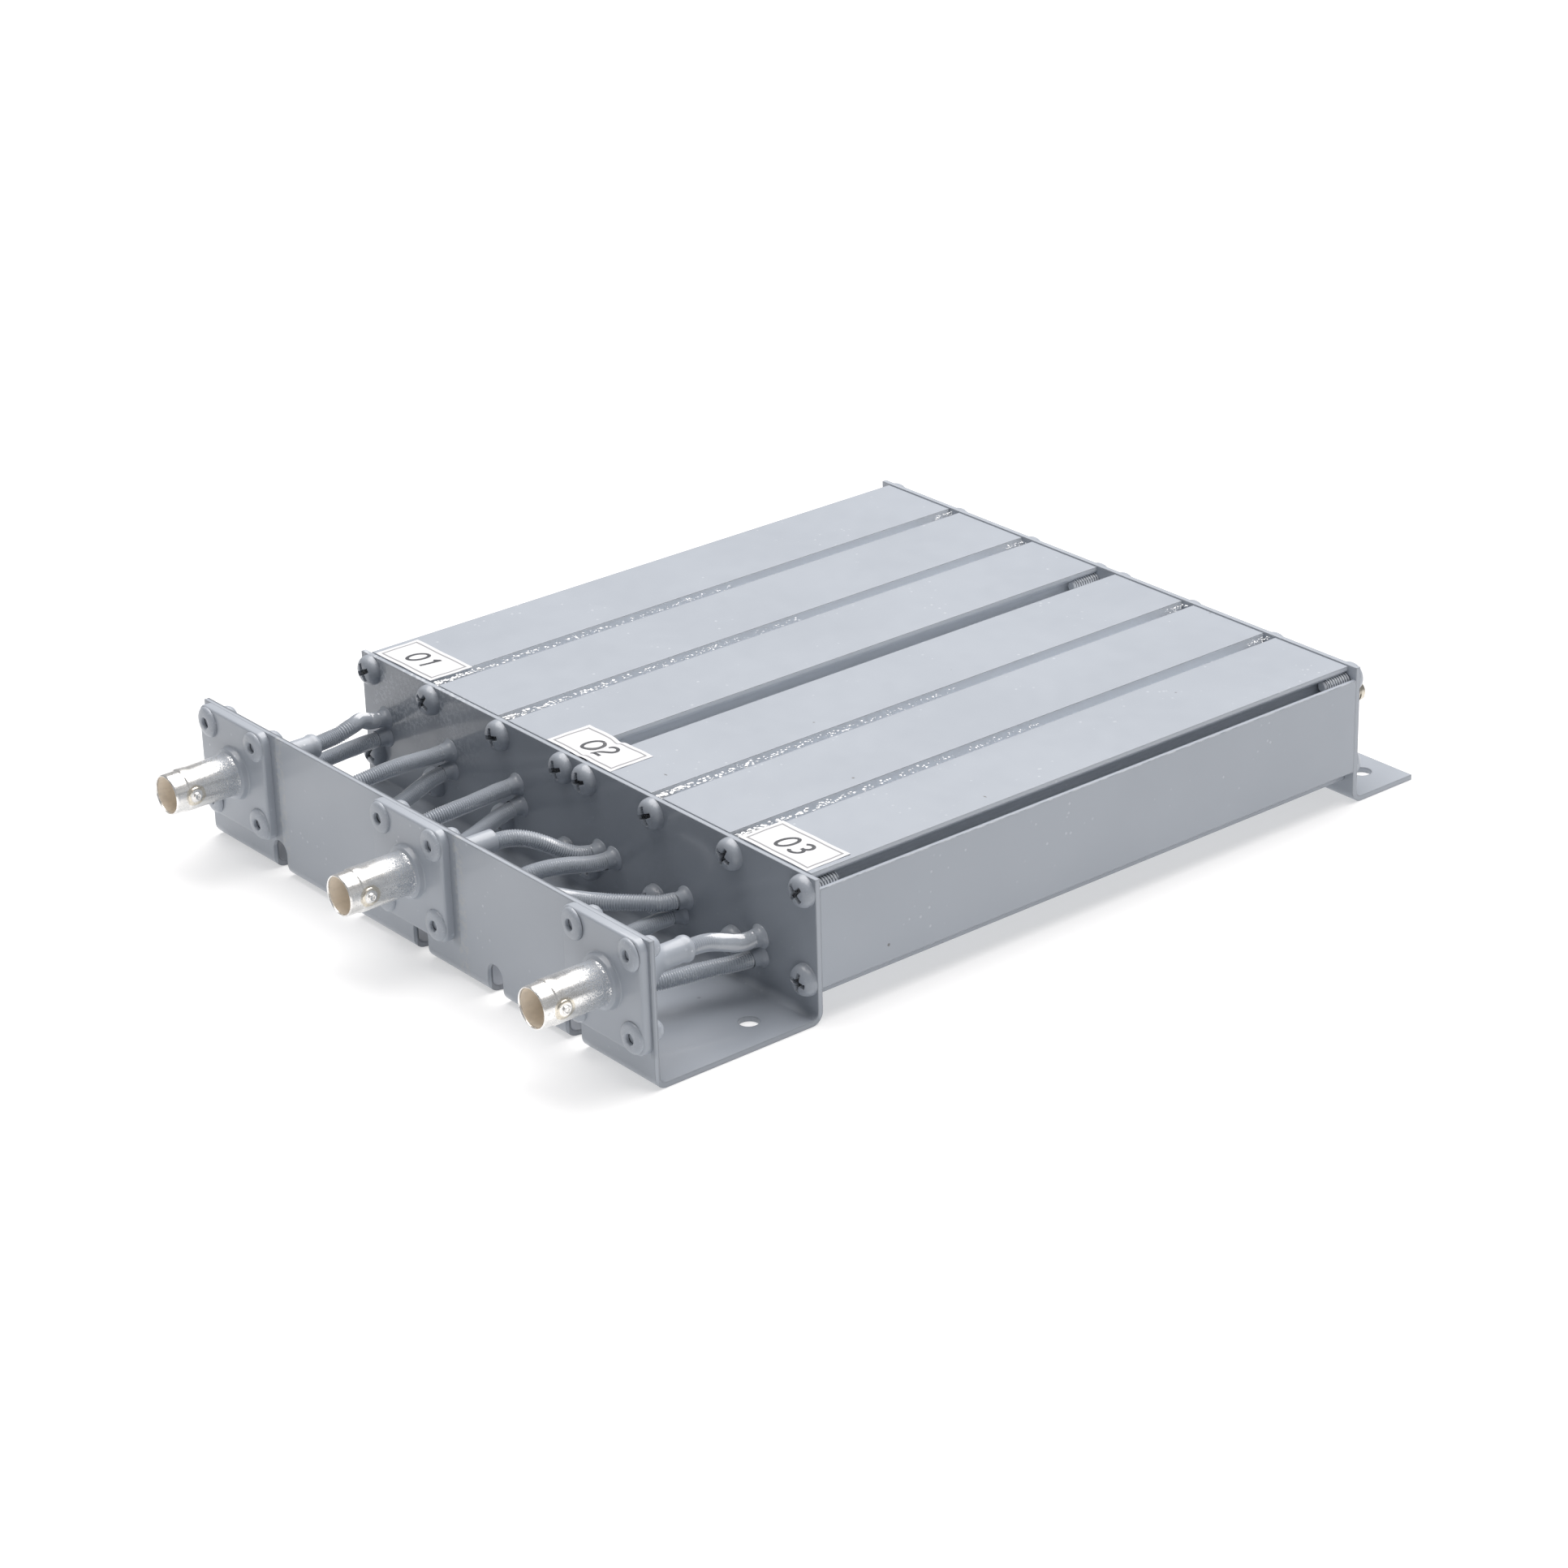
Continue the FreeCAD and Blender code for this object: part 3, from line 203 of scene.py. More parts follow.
def front_extra(m, colour, rough, height):
    """Painted shade in the channel, painted shadow of the panel on the floor behind it, painted shade and
    overspray streaks beside the flanges, dry overspray on the wall.
    """
    x, y, z = m.axes()
    ragged = m.noise(900.0, 4.0, 0.7)
    patch = m.ramp(m.noise(60.0, 2.0, 0.5, (1.0, 1.0, 2.4)), 0.36, 0.48)
    wall = m.band(y, depth(36.0), depth(WALL_REAR), 0.002)
    high_left = m.times(m.ramp(z, 0.014, 0.022), m.ramp(x, -0.030, -0.052))
    dry = m.times(patch, wall, m.times(high_left, m.ramp(ragged, 0.50, 0.54)))
    # Painted shade: the channel between the panel and the end wall is darkened
    inside = m.band(y, depth(0.9), depth(WALL_FRONT + 0.1), 0.0002)
    colour = m.mix(m.times(inside, 0.66), colour, PAINT_SHADE)
    # Painted shadow of the panel on the channel floor just behind it, all but at the right end
    panel_shadow = m.times(m.ramp(x, 0.058, 0.050), m.ramp(y, depth(22.0), depth(12.0)))
    colour = m.mix(m.times(panel_shadow, inside, 0.55), colour, (0.10, 0.11, 0.13))
    colour = m.mix(m.times(dry, 0.45), colour, PAINT_LIGHT)
    panel = m.ramp(y, depth(0.8), depth(0.4))
    # Painted shade in a strip beside each flange, low on the panel: the flange's dark side reflected in the
    # gloss
    beside = m.most([m.band(x, (jack + 12.4) * MM, (jack + 14.6) * MM, 0.0005) for jack in JACKS])
    shade = m.times(beside, panel, m.ramp(z, 0.0065, 0.0085))
    colour = m.mix(m.times(shade, 0.75), colour, PAINT_SHADE)
    edge = m.most([m.band(x, (jack + 14.8) * MM, (jack + 16.8) * MM, 0.0012) for jack in JACKS])
    streak = m.times(edge, panel, m.ramp(ragged, 0.49, 0.55))
    colour = m.mix(m.times(streak, 0.38), colour, (0.50, 0.50, 0.48))
    dull = m.most([dry, streak])
    return colour, m.plus(rough, m.times(dull, 0.25)), m.plus(height, m.times(dull, 0.5))


def profile_extra(m, colour, rough, height):
    """Painted light in the open ports, two marks, a burr on the side faces and lines along the extrusion.
    """
    x, y, z = m.axes()
    # Painted light: the insides of the open ports are lightened
    port = m.most([m.times(m.band(x, (centre - PORT_MOUTH) * MM, (centre + PORT_MOUTH) * MM, 0.00005),
                           PORT_PAINTED_LIGHT[abs(centre)]) for centre in PORT_X])
    inside = m.times(port, m.band(z, 0.0262, 0.03245, 0.0001))
    colour = m.mix(inside, colour, (0.78, 0.82, 0.87))
    for mark_x, mark_y in TOP_MARKS:
        aside = m.math("ABSOLUTE", m.minus(x, mark_x * MM))
        along = m.math("ABSOLUTE", m.minus(y, depth(mark_y)))
        away = m.plus(aside, m.times(along, 2.2))
        colour = m.mix(m.times(m.ramp(away, 0.0008, 0.0004), 0.7), colour, (0.10, 0.09, 0.08))
    side = m.ramp(m.math("ABSOLUTE", x), 0.07988, 0.07996)
    lip = m.band(z, 0.02985, 0.03002, 0.00004)
    burr = m.times(side, lip, m.ramp(m.noise(300.0, 2.0), 0.40, 0.60))
    colour = m.mix(m.times(burr, 0.55), colour, (0.74, 0.76, 0.79))
    lines = m.noise(700.0, 2.0, 0.5, (1.0, 0.02, 1.0))
    return colour, rough, m.plus(height, m.times(lines, 0.12))


def recess_extra(m, colour, rough, height):
    """Ragged pale flecks and a coarser surface, as on the sprayed heads."""
    ragged = m.noise(2600.0, 3.0, 0.7)
    colour = m.mix(m.times(m.ramp(ragged, 0.58, 0.66), 0.35), colour, PAINT_LIGHT)
    return colour, rough, m.plus(height, m.times(ragged, 0.9))


def head_shade_extra(m, colour, rough, height):
    """The heads' paint darkened with painted shade, like the channel round them."""
    colour, rough, height = recess_extra(m, colour, rough, height)
    return m.mix(0.45, colour, PAINT_SHADE), rough, height


def crest_highlight_extra(m, colour, rough, height):
    """Painted highlight: pale colour on the crests of a thread."""
    return m.mix(0.8, colour, (0.80, 0.83, 0.87)), rough, height


def root_shade_extra(m, colour, rough, height):
    """Painted shade: dark colour down in the roots of a thread."""
    return m.mix(0.6, colour, (0.13, 0.14, 0.16)), rough, height


def shaded_recess():
    """The floor of a screw recess, darkened almost to black with painted shade."""
    m = Nodes("recess_floor")
    ragged = m.noise(3200.0, 4.0, 0.7)
    colour = m.mix(m.ramp(ragged, 0.42, 0.6), (0.030, 0.029, 0.028), (0.20, 0.215, 0.235))
    m.surface(colour, m.plus(m.times(ragged, 0.3), 0.35), 0.3)
    m.relief(ragged, 0.8, 0.0002)
    return m.material


def cable_paint():
    """Glossy paint over the links, with pale worn patches."""
    m = Nodes("painted_braid")
    patches = m.ramp(m.noise(160.0, 3.0), 0.5, 0.68)
    grit = m.noise(2400.0, 3.0, 0.65)
    colour = m.mix(m.ramp(m.noise(40.0), 0.35, 0.65), PAINT_DARK, PAINT)
    flecks = m.times(patches, m.ramp(grit, 0.52, 0.62))
    colour = m.mix(m.times(flecks, 0.45), colour, PAINT_LIGHT)
    m.surface(colour, m.plus(m.times(grit, 0.2), 0.14))
    m.set("Specular IOR Level", 0.8)
    m.set("Coat Weight", 0.9)
    m.set("Coat IOR", 1.7)
    m.set("Coat Roughness", 0.05)
    m.relief(grit, 0.3, 0.00006)
    return m.material


def nickel(name, tint, rough_low, shine, speckle):
    """Bright plating with turning marks and painted reflection streaks, and on the shell varnish round the
    lugs and overspray.
    """
    m = Nodes(name)
    x, y, z = m.axes()
    stain = m.ramp(m.noise(260.0, 4.0, 0.6), 0.40, 0.72)
    colour = m.mix(stain, tint, tuple(0.86 * value for value in tint))
    # Dark streaks along the axis are painted reflection of the surroundings
    streak = m.ramp(m.noise(520.0, 3.0, 0.5, (1.0, 0.05, 1.0)), 0.50, 0.64)
    colour = m.mix(m.times(streak, 0.35 if speckle else 0.1), colour, (0.42, 0.42, 0.40))
    rings = m.noise(2200.0, 2.0, 0.5, (0.05, 1.0, 0.05))
    rough = m.plus(m.times(m.noise(700.0, 4.0, 0.6), 0.22), rough_low)
    metallic = shine
    if speckle:
        from_lug = m.plus(m.math("POWER", m.minus(y, depth(LUG_Y)), 2.0),
                          m.math("POWER", m.minus(z, JACK_Z * MM), 2.0))
        away = m.plus(m.math("SQRT", from_lug), m.times(m.noise(900.0, 3.0), 0.0006))
        varnish = m.band(away, 1.9 * MM, 2.5 * MM, 0.0003)
        colour = m.mix(m.times(varnish, 0.55), colour, (0.62, 0.53, 0.36))
        near = m.ramp(y, depth(-13.5), depth(-3.6))
        dust = m.plus(m.noise(4300.0, 2.0, 0.6), m.times(near, 0.22))
        mask = m.ramp(dust, 0.60, 0.70)
        colour = m.mix(mask, colour, PAINT)
        metallic = m.times(m.minus(1.0, mask), shine)
        rough = m.plus(rough, m.times(mask, 0.22))
    m.surface(colour, rough, metallic)
    m.relief(m.plus(rings, m.times(m.noise(600.0), 0.5)), 0.10, 0.00004)
    return m.material


def metal(name, colour, second, rough, marks=(1, 1, 1), scale=900.0):
    """Bare metal with machining marks and slight stains."""
    m = Nodes(name)
    m.surface(m.mix(m.ramp(m.noise(180.0, 4.0), 0.38, 0.68), colour, second),
              m.plus(m.times(m.noise(scale, 3.0, 0.5, marks), 0.2), rough), 1.0)
    m.relief(m.noise(scale, 2.0, 0.5, marks), 0.15, 0.00005, 0.0001)
    return m.material


def fluoropolymer():
    """Waxy off-white plastic of the insulators."""
    m = Nodes("insulator_white")
    cloud = m.noise(300.0, 3.0)
    colour = m.mix(m.ramp(cloud, 0.4, 0.7), (0.80, 0.77, 0.70), (0.70, 0.64, 0.53))
    m.surface(colour, m.plus(m.times(cloud, 0.2), 0.32))
    m.set("Subsurface Weight", 0.15)
    m.set("Subsurface Radius", (0.001, 0.0008, 0.0006))
    m.relief(m.noise(1800.0), 0.15, 0.00005)
    return m.material


def paper(name, width, length):
    """White sticker stock with a thin grey frame printed inside its edge, read from the piece's map."""
    m = Nodes(name)
    u, v, _ = m.node("ShaderNodeSeparateXYZ", {0: m.places["UV"]}).outputs
    across = m.times(u, width)
    along = m.times(v, length)
    from_edge = m.math("MINIMUM",
                       m.math("MINIMUM", across, m.minus(width, across)),
                       m.math("MINIMUM", along, m.minus(length, along)))
    frame_line = m.band(from_edge, 0.94, 1.30, 0.10)
    fibre = m.noise(2500.0, 3.0, 0.6)
    colour = m.mix(m.ramp(fibre, 0.3, 0.7), (0.61, 0.62, 0.645), (0.65, 0.66, 0.685))
    colour = m.mix(m.times(frame_line, 0.75), colour, (0.14, 0.145, 0.155))
    m.surface(colour, m.plus(m.times(fibre, 0.15), 0.38))
    m.relief(fibre, 0.1, 0.00004)
    return m.material


def fleck_white():
    """Chalky white of the chips in the grooves."""
    m = Nodes("primer_fleck")
    chalk = m.noise(1800.0, 3.0, 0.6)
    colour = m.mix(m.ramp(chalk, 0.35, 0.65), (0.68, 0.70, 0.72), (0.90, 0.91, 0.92))
    m.surface(colour, m.plus(m.times(chalk, 0.3), 0.30))
    m.relief(chalk, 0.3, 0.00008)
    return m.material


def ink():
    """Dark grey print, thin in places."""
    m = Nodes("label_ink")
    worn = m.noise(1600.0, 3.0, 0.6)
    colour = m.mix(m.ramp(worn, 0.55, 0.75), (0.045, 0.05, 0.058), (0.16, 0.165, 0.18))
    m.surface(colour, m.plus(m.times(worn, 0.2), 0.4))
    return m.material


# Mesh building

def placed(name, data):
    """A new object in the scene."""
    made = bpy.data.objects.new(name, data)
    bpy.context.scene.collection.objects.link(made)
    return made


class Form:
    """Vertices and faces gathered from several parts, each with a material number."""

    def __init__(self):
        self.verts = []
        self.faces = []
        self.slots = []
        self.uvs = []

    def add(self, matrix, verts, faces, slots=0):
        first = len(self.verts)
        self.verts += [matrix @ Vector(vert) for vert in verts]
        self.faces += [tuple(first + index for index in face) for face in faces]
        self.slots += [slots] * len(faces) if isinstance(slots, int) else list(slots)

    def build(self, name, materials, angle, body=ROOT):
        mesh = bpy.data.meshes.new(name)
        mesh.from_pydata([tuple(vert) for vert in self.verts], [], self.faces)
        for material in materials:
            mesh.materials.append(material)
        mesh.polygons.foreach_set("material_index", self.slots)
        if self.uvs:
            layer = mesh.uv_layers.new(name="UVMap")
            for loop in mesh.loops:
                layer.data[loop.index].uv = self.uvs[loop.vertex_index]
        mesh.shade_smooth()
        mesh.set_sharp_from_angle(angle=math.radians(angle))
        mesh.validate()
        piece = placed(name, mesh)
        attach(piece, body)
        return piece


def towards(place, direction, spin=0.0):
    """A frame in metres whose z axis points along a direction, for forms drawn in millimetres."""
    turn = Vector((0, 0, 1)).rotation_difference(Vector(direction)).to_matrix().to_4x4()
    return (Matrix.Translation(place) @ turn @ Matrix.Rotation(spin, 4, "Z")
            @ Matrix.Scale(MM, 4))


def polar(radius, angle, z):
    """A point by its radius and angle about the z axis, and its height."""
    return radius * math.cos(angle), radius * math.sin(angle), z


def around(steps):
    """The angles of evenly spread steps round a circle."""
    return [math.tau * step / steps for step in range(steps)]


def ring_faces(count, steps):
    """Faces between rings of points that follow each other, all with the same number of steps."""
    faces = []
    for low in range(0, (count - 1) * steps, steps):
        for step in range(steps):
            after = (step + 1) % steps
            faces.append((low + step, low + after, low + steps + after, low + steps + step))
    return faces


def lathe(outline, steps, slots=0, wobble=None):
    """Turn (radius, z) points about z, with one material number or one for each part of the outline."""
    verts = []
    rings = []
    for radius, z in outline:
        first = len(verts)
        for angle in around(steps if radius > 0 else 1):
            reach = radius + (wobble(angle, radius, z) if wobble and radius > 0 else 0.0)
            verts.append(polar(reach, angle, z))
        rings.append(range(first, len(verts)))
    faces = []
    face_slots = []
    for index, (low, high) in enumerate(zip(rings, rings[1:])):
        for step in range(steps):
            after = (step + 1) % steps
            if len(low) == 1:
                faces.append((low[0], high[after], high[step]))
            elif len(high) == 1:
                faces.append((low[step], low[after], high[0]))
            else:
                faces.append((low[step], low[after], high[after], high[step]))
            face_slots.append(slots[index] if isinstance(slots, list) else slots)
    return verts, faces, face_slots


def dish(radii, steps, height, slot_of=None):
    """A round top given by a height over (radius, angle), with one point in the middle."""
    verts = [(0, 0, height(0.0, 0.0))]
    faces = []
    slots = []
    for ring, radius in enumerate(radii):
        outer = 1 + ring * steps
        inner = outer - steps
        for step in range(steps):
            angle = math.tau * step / steps
            verts.append(polar(radius, angle, height(radius, angle)))
            after = (step + 1) % steps
            if ring == 0:
                faces.append((0, outer + step, outer + after))
            else:
                faces.append((inner + step, outer + step, outer + after, inner + after))
            slots.append(slot_of(radius, math.tau * (step + 0.5) / steps) if slot_of else 0)
    return verts, faces, slots


def smooth(value):
    """0 to 1 with a soft start and end."""
    value = max(0.0, min(1.0, value))
    return value * value * (3 - 2 * value)


def threaded(radius, cut, pitch, start, end, steps, slots=(0, 0), per_turn=6):
    """A helical thread from start to end along z, open at both ends; slots are for crests and roots."""
    count = max(2, round((end - start) / pitch * per_turn))
    verts = []
    face_slots = []
    for ring in range(count + 1):
        z = start + (end - start) * ring / count
        middle = start + (end - start) * (ring + 0.5) / count
        for step in range(steps):
            phase = (z / pitch - step / steps) % 1.0
            verts.append(polar(radius - cut * abs(2 * phase - 1), math.tau * step / steps, z))
            if ring < count:
                phase = (middle / pitch - (step + 0.5) / steps) % 1.0
                face_slots.append(slots[1] if abs(2 * phase - 1) > 0.5 else slots[0])
    return verts, ring_faces(count + 1, steps), face_slots


# Fasteners

HEAD_RADIUS = 3.5
HEAD_HEIGHT = 2.6
SHANK_RADIUS = 1.75
SHANK_THREAD = 0.42
SHANK_PITCH = 0.72
SHANK_START = 0.4
SHANK_END = 8.0
# The upper rear screws sit high in their oversize holes, so their heads show over the plate
REAR_LIFT = 0.42


def head_dome(radius):
    """Height of a pan head over its seat."""
    share = min(1.0, radius / (HEAD_RADIUS + 0.02))
    return HEAD_HEIGHT * (1 - share ** 3.0) ** (1 / 2.3)


def cross_recess(radius, angle):
    """How deep the cross lies below the dome, 0 outside it."""
    u = abs(radius * math.cos(angle))
    v = abs(radius * math.sin(angle))
    deepest = 0.0
    for along, aside in ((u, v), (v, u)):
        half = 0.66 - 0.10 * along
        inside = smooth((half - aside) / 0.15) * smooth((2.15 - along) / 0.22)
        deepest = max(deepest, inside * (1.85 - 0.58 * along))
    return deepest


def screw_form(form, x, y, z, way):
    """One pan-head screw: domed head with a cross recess, and a threaded shank into the port."""
    spin = random.uniform(0, math.tau)
    seat = towards(row(x, y, z), (0, way, 0), spin)
    radii = [0.22 + 0.115 * step for step in range(16)] + [2.2, 2.5, 2.78, 3.0, 3.18, 3.32, 3.42, 3.48]

    def height(radius, angle):
        return head_dome(radius) - cross_recess(radius, angle)

    def floor_of(radius, angle):
        return 1 if cross_recess(radius, angle) > 0.55 else 0

    form.add(seat, *dish(radii, 64, height, floor_of))
    rim = [(3.58, 0.0), (3.57, 0.05), (3.52, 0.16), (3.5, 0.32), (3.48, height(3.48, 0.0))]
    form.add(seat, *lathe(rim, 64))
    back = towards(row(x, y, z), (0, -way, 0), spin)
    form.add(back, *threaded(SHANK_RADIUS, SHANK_THREAD, SHANK_PITCH, SHANK_START, SHANK_END, 24, (2, 3)))
    form.add(back, *lathe([(1.41, SHANK_END), (1.0, SHANK_END + 0.4), (0, SHANK_END + 0.4)], 20, 2))


def make_screws():
    """Sixteen screws at each end, each with the materials head, recess floor, crest and root."""
    # The front heads carry painted shade
    front_heads = paint("painted_front_heads", 0.0, 0.4, head_shade_extra, 0.5)
    rear_heads = paint("painted_rear_heads", 0.0, 0.4, recess_extra, 0.5)
    # The recess floor and the thread roots carry painted shade, the thread crests painted highlight
    floor = shaded_recess()
    threads = paint("painted_threads", 0.0, 0.9, crest_highlight_extra, 0.6)
    thread_roots = paint("painted_thread_roots", 0.0, 0.2, root_shade_extra, 0.6)
    for name, y, way, heads in (("front_screws", WALL_FRONT, -1, front_heads),
                                ("rear_screws", PLATE_REAR, 1, rear_heads)):
        form = Form()
        for x in PORT_X:
            for z in PORT_Z:
                lift = REAR_LIFT if way > 0 and z > CHAMBER_Z else 0.0
                screw_form(form, x, y, z + lift, way)
        piece = form.build(f"{name}_detail", [heads, floor, threads, thread_roots], 42)
        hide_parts(name)


RIVET_OFFSET = 9.15
FLANGE_HALF = 12.7
FLANGE_CORNER = 2.4
FLANGE_THICKNESS = 2.0
FLANGE_EDGE = 0.55


def add_rivet(form, x, z):
    """A blind rivet: domed head round a hollow with the broken pin in it, and a bulbed tail."""
    drop = random.uniform(0.9, 1.5)
    lean = random.uniform(-0.05, 0.05)
    seat = towards(row(x, -FLANGE_THICKNESS, z), (lean, -1, random.uniform(-0.04, 0.04)),
                   random.uniform(0, 6))
    head = [(3.49, -0.02), (3.44, 0.16), (3.36, 0.40), (3.1, 0.62), (2.6, 0.80), (2.0, 0.93), (1.55, 0.96),
            (1.32, 0.90), (1.20, 0.74), (1.14, 0.2), (1.08, -drop + 0.2), (0.95, -drop),
            (0.80, -drop + 0.18), (0.35, -drop + 0.30), (0, -drop + 0.28)]

    def lump(angle, radius, z, shift=random.uniform(0, 6)):
        return 0.05 * math.sin(2 * angle + shift) * smooth((radius - 0.8) / 0.6)

    form.add(seat, *lathe(head, 40, [0] * 9 + [1] * 5, lump))
    tail = [(1.75, -0.02), (2.1, 0.25), (2.3, 0.9), (2.32, 1.7), (2.2, 2.5), (1.8, 3.2), (1.35, 3.55),
            (1.1, 3.62), (1.02, 3.78), (0.7, 3.8), (0, 3.75)]
    form.add(towards(row(x, SHEET, z), (0, 1, 0)), *lathe(tail, 28, 0, lump))


def make_rivets():
    """Four rivets through each flange."""
    coat = paint("painted_rivets", 0.0, 0.5, recess_extra, 0.5)
    # The rivet hollows carry painted shade
    hollow = shaded_recess()
    form = Form()
    for jack in JACKS:
        for across in (-RIVET_OFFSET, RIVET_OFFSET):
            for up in (-RIVET_OFFSET, RIVET_OFFSET):
                add_rivet(form, jack + across, JACK_Z + up)
    piece = form.build("jack_rivets_detail", [coat, hollow], 40)
    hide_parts("jack_rivets")


# Jacks

BARREL_OUTLINE = [
    (5.40, -2.2), (5.40, 1.0), (6.35, 2.0), (6.10, 2.12), (5.95, 2.4), (5.88, 2.9), (5.75, 3.18),
    (5.35, 3.32), (4.98, 3.46), (4.82, 3.8), (4.79, 4.3), (4.79, 13.7), (4.84, 13.85), (4.84, 15.6),
    (4.78, 15.85), (4.60, 16.05), (4.57, 16.2), (4.57, 18.95), (4.53, 19.15), (4.44, 19.32), (4.34, 19.4),
    (4.22, 19.36), (4.12, 19.2), (4.08, 18.9), (4.08, 11.3), (4.0, 10.9), (3.5, 10.9), (3.5, -2.2),
    (5.40, -2.2)]
LUG_OUTLINE = [
    (1.95, 4.30), (1.88, 4.60), (1.70, 4.78), (1.45, 4.84), (1.0, 4.85), (0.92, 4.90),
    (0.88, 5.30), (0.80, 5.48), (0.66, 5.52), (0.50, 5.46), (0.42, 5.20), (0, 5.12)]
INNER_WALL = 4.3
MOUTH_EDGE = 19.0
PAINTED_END = 3.55


def barrel_slot(low, high):
    """Material between two points of the barrel's outline: 0 plating, 1 inside, 2 paint by the flange."""
    radius = (low[0] + high[0]) / 2
    middle = (low[1] + high[1]) / 2
    if radius < INNER_WALL and middle < MOUTH_EDGE:
        return 1
    return 2 if middle < PAINTED_END else 0


def plate_form(half, corner, thickness, edge):
    """A square plate with round corners and softly rounded edges, z from 0 to its thickness."""
    insets = [(0.0, 0.0)]
    for step in range(5):
        angle = math.pi / 2 * step / 4
        insets.append((edge * (1 - math.cos(angle)), thickness - edge + edge * math.sin(angle)))
    verts = []
    for inset, z in insets:
        radius = max(0.05, corner - inset)
        for quarter in range(4):
            centre_x = (half - corner) * (1 if quarter in (0, 3) else -1)
            centre_y = (half - corner) * (1 if quarter in (0, 1) else -1)
            for step in range(9):
                angle = math.pi / 2 * (quarter + step / 8)
                verts.append((centre_x + radius * math.cos(angle), centre_y + radius * math.sin(angle), z))
    around = len(verts) // len(insets)
    faces = ring_faces(len(insets), around)
    faces.append(tuple(range(len(verts) - around, len(verts))))
    faces.append(tuple(reversed(range(around))))
    return verts, faces


def make_jacks():
    """Plated barrels with two lugs each, and their painted flanges."""
    shell_metal = nickel("jack_plating", (0.97, 0.96, 0.94), 0.13, 0.86, True)
    # The inside's tan is the plating's own, and its brightness with little shine is partly painted
    # reflection of the bright surroundings
    inner_metal = nickel("jack_plating_inside", (0.98, 0.89, 0.77), 0.30, 0.12, False)
    coat = paint("painted_flange", 0.0, 0.5, None, 0.4)
    barrel_slots = [barrel_slot(low, high) for low, high in zip(BARREL_OUTLINE, BARREL_OUTLINE[1:])]
    for number, jack in enumerate(JACKS, start=1):
        seat = towards(row(jack, 0, JACK_Z), (0, -1, 0))
        form = Form()
        form.add(seat, *lathe(BARREL_OUTLINE, 72, barrel_slots))
        for way in (-1, 1):
            form.add(towards(row(jack, LUG_Y, JACK_Z), (way, 0, 0)), *lathe(LUG_OUTLINE, 32))
        piece = form.build(f"jack_barrel_{number}", [shell_metal, inner_metal, coat], 34)
        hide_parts(f"jack_body_{number}")
        form = Form()
        form.add(seat, *plate_form(FLANGE_HALF, FLANGE_CORNER, FLANGE_THICKNESS, FLANGE_EDGE))
        piece = form.build(f"jack_flange_{number}", [coat], 30)
        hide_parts(f"jack_body_{number}")


def make_hoods():
    """Spun cups behind the jacks, drawn down to a ferrule whose end is thick with paint."""
    coat = paint("painted_hoods", 0.0, 0.5, None, 0.45)
    for number in (1, 3):
        jack = JACKS[number - 1]
        seat = towards(row(jack, 0, JACK_Z), (0, 1, 0))
        outline = [(7.15, 1.2), (7.02, 1.5), (7.0, 5.4), (6.9, 5.85), (6.6, 6.4), (6.0, 7.1), (5.2, 8.05),
                   (4.35, 9.1), (3.6, 10.2), (3.05, 11.2), (2.74, 12.2), (2.62, 13.2), (2.60, 17.0),
                   (2.66, 17.5), (2.82, 17.9), (2.88, 18.5), (2.78, 19.1), (2.50, 19.45), (2.1, 19.5),
                   (1.86, 19.45), (1.82, 18.6)]

        def lump(angle, radius, z, shift=random.uniform(0, 6)):
            return 0.035 * math.sin(3 * angle + shift + z * 0.6)

        form = Form()
        form.add(seat, *lathe(outline, 56, 0, lump))
        piece = form.build(f"jack_hood_{number}_detail", [coat], 50)
        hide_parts(f"jack_hood_{number}")
    dress("jack_hood_2", paint("painted_branch_hood", 0.0006, 0.5, None, 0.45))


# Coaxial links

CABLE_RADIUS = 1.8
RIB_HEIGHT = 0.13
RIB_SPACING = 0.27
CABLE_START = 11.0
HOOD_END = 19.5
CABLE_LEAD = 3.2
CABLE_EXIT = 5.4
BRANCH_AXIS = Vector((0.0, 7.0, 20.2))
BRANCH_WAY = Vector((-0.766, 0.484, -0.423))
# Where the links enter the end wall: cavity, then offsets across and up from the cavity's axis
ENTRIES = {
    "first_upper": (0, -5.65, -0.4), "first_lower": (0, -5.65, -4.9),
    "second_upper": (1, -6.45, -0.1), "second_lower": (1, -6.35, -4.8),
    "third_upper": (2, -7.55, 0.1), "third_lower": (2, -6.45, -4.6),
    "fourth_left": (3, -6.35, -5.5), "fourth_right": (3, -1.35, -5.5),
    "fifth_upper": (4, -2.95, -5.9), "fifth_lower": (4, -4.75, -10.0),
    "sixth_upper": (5, -4.45, -5.7), "sixth_lower": (5, -4.55, -10.1),
}
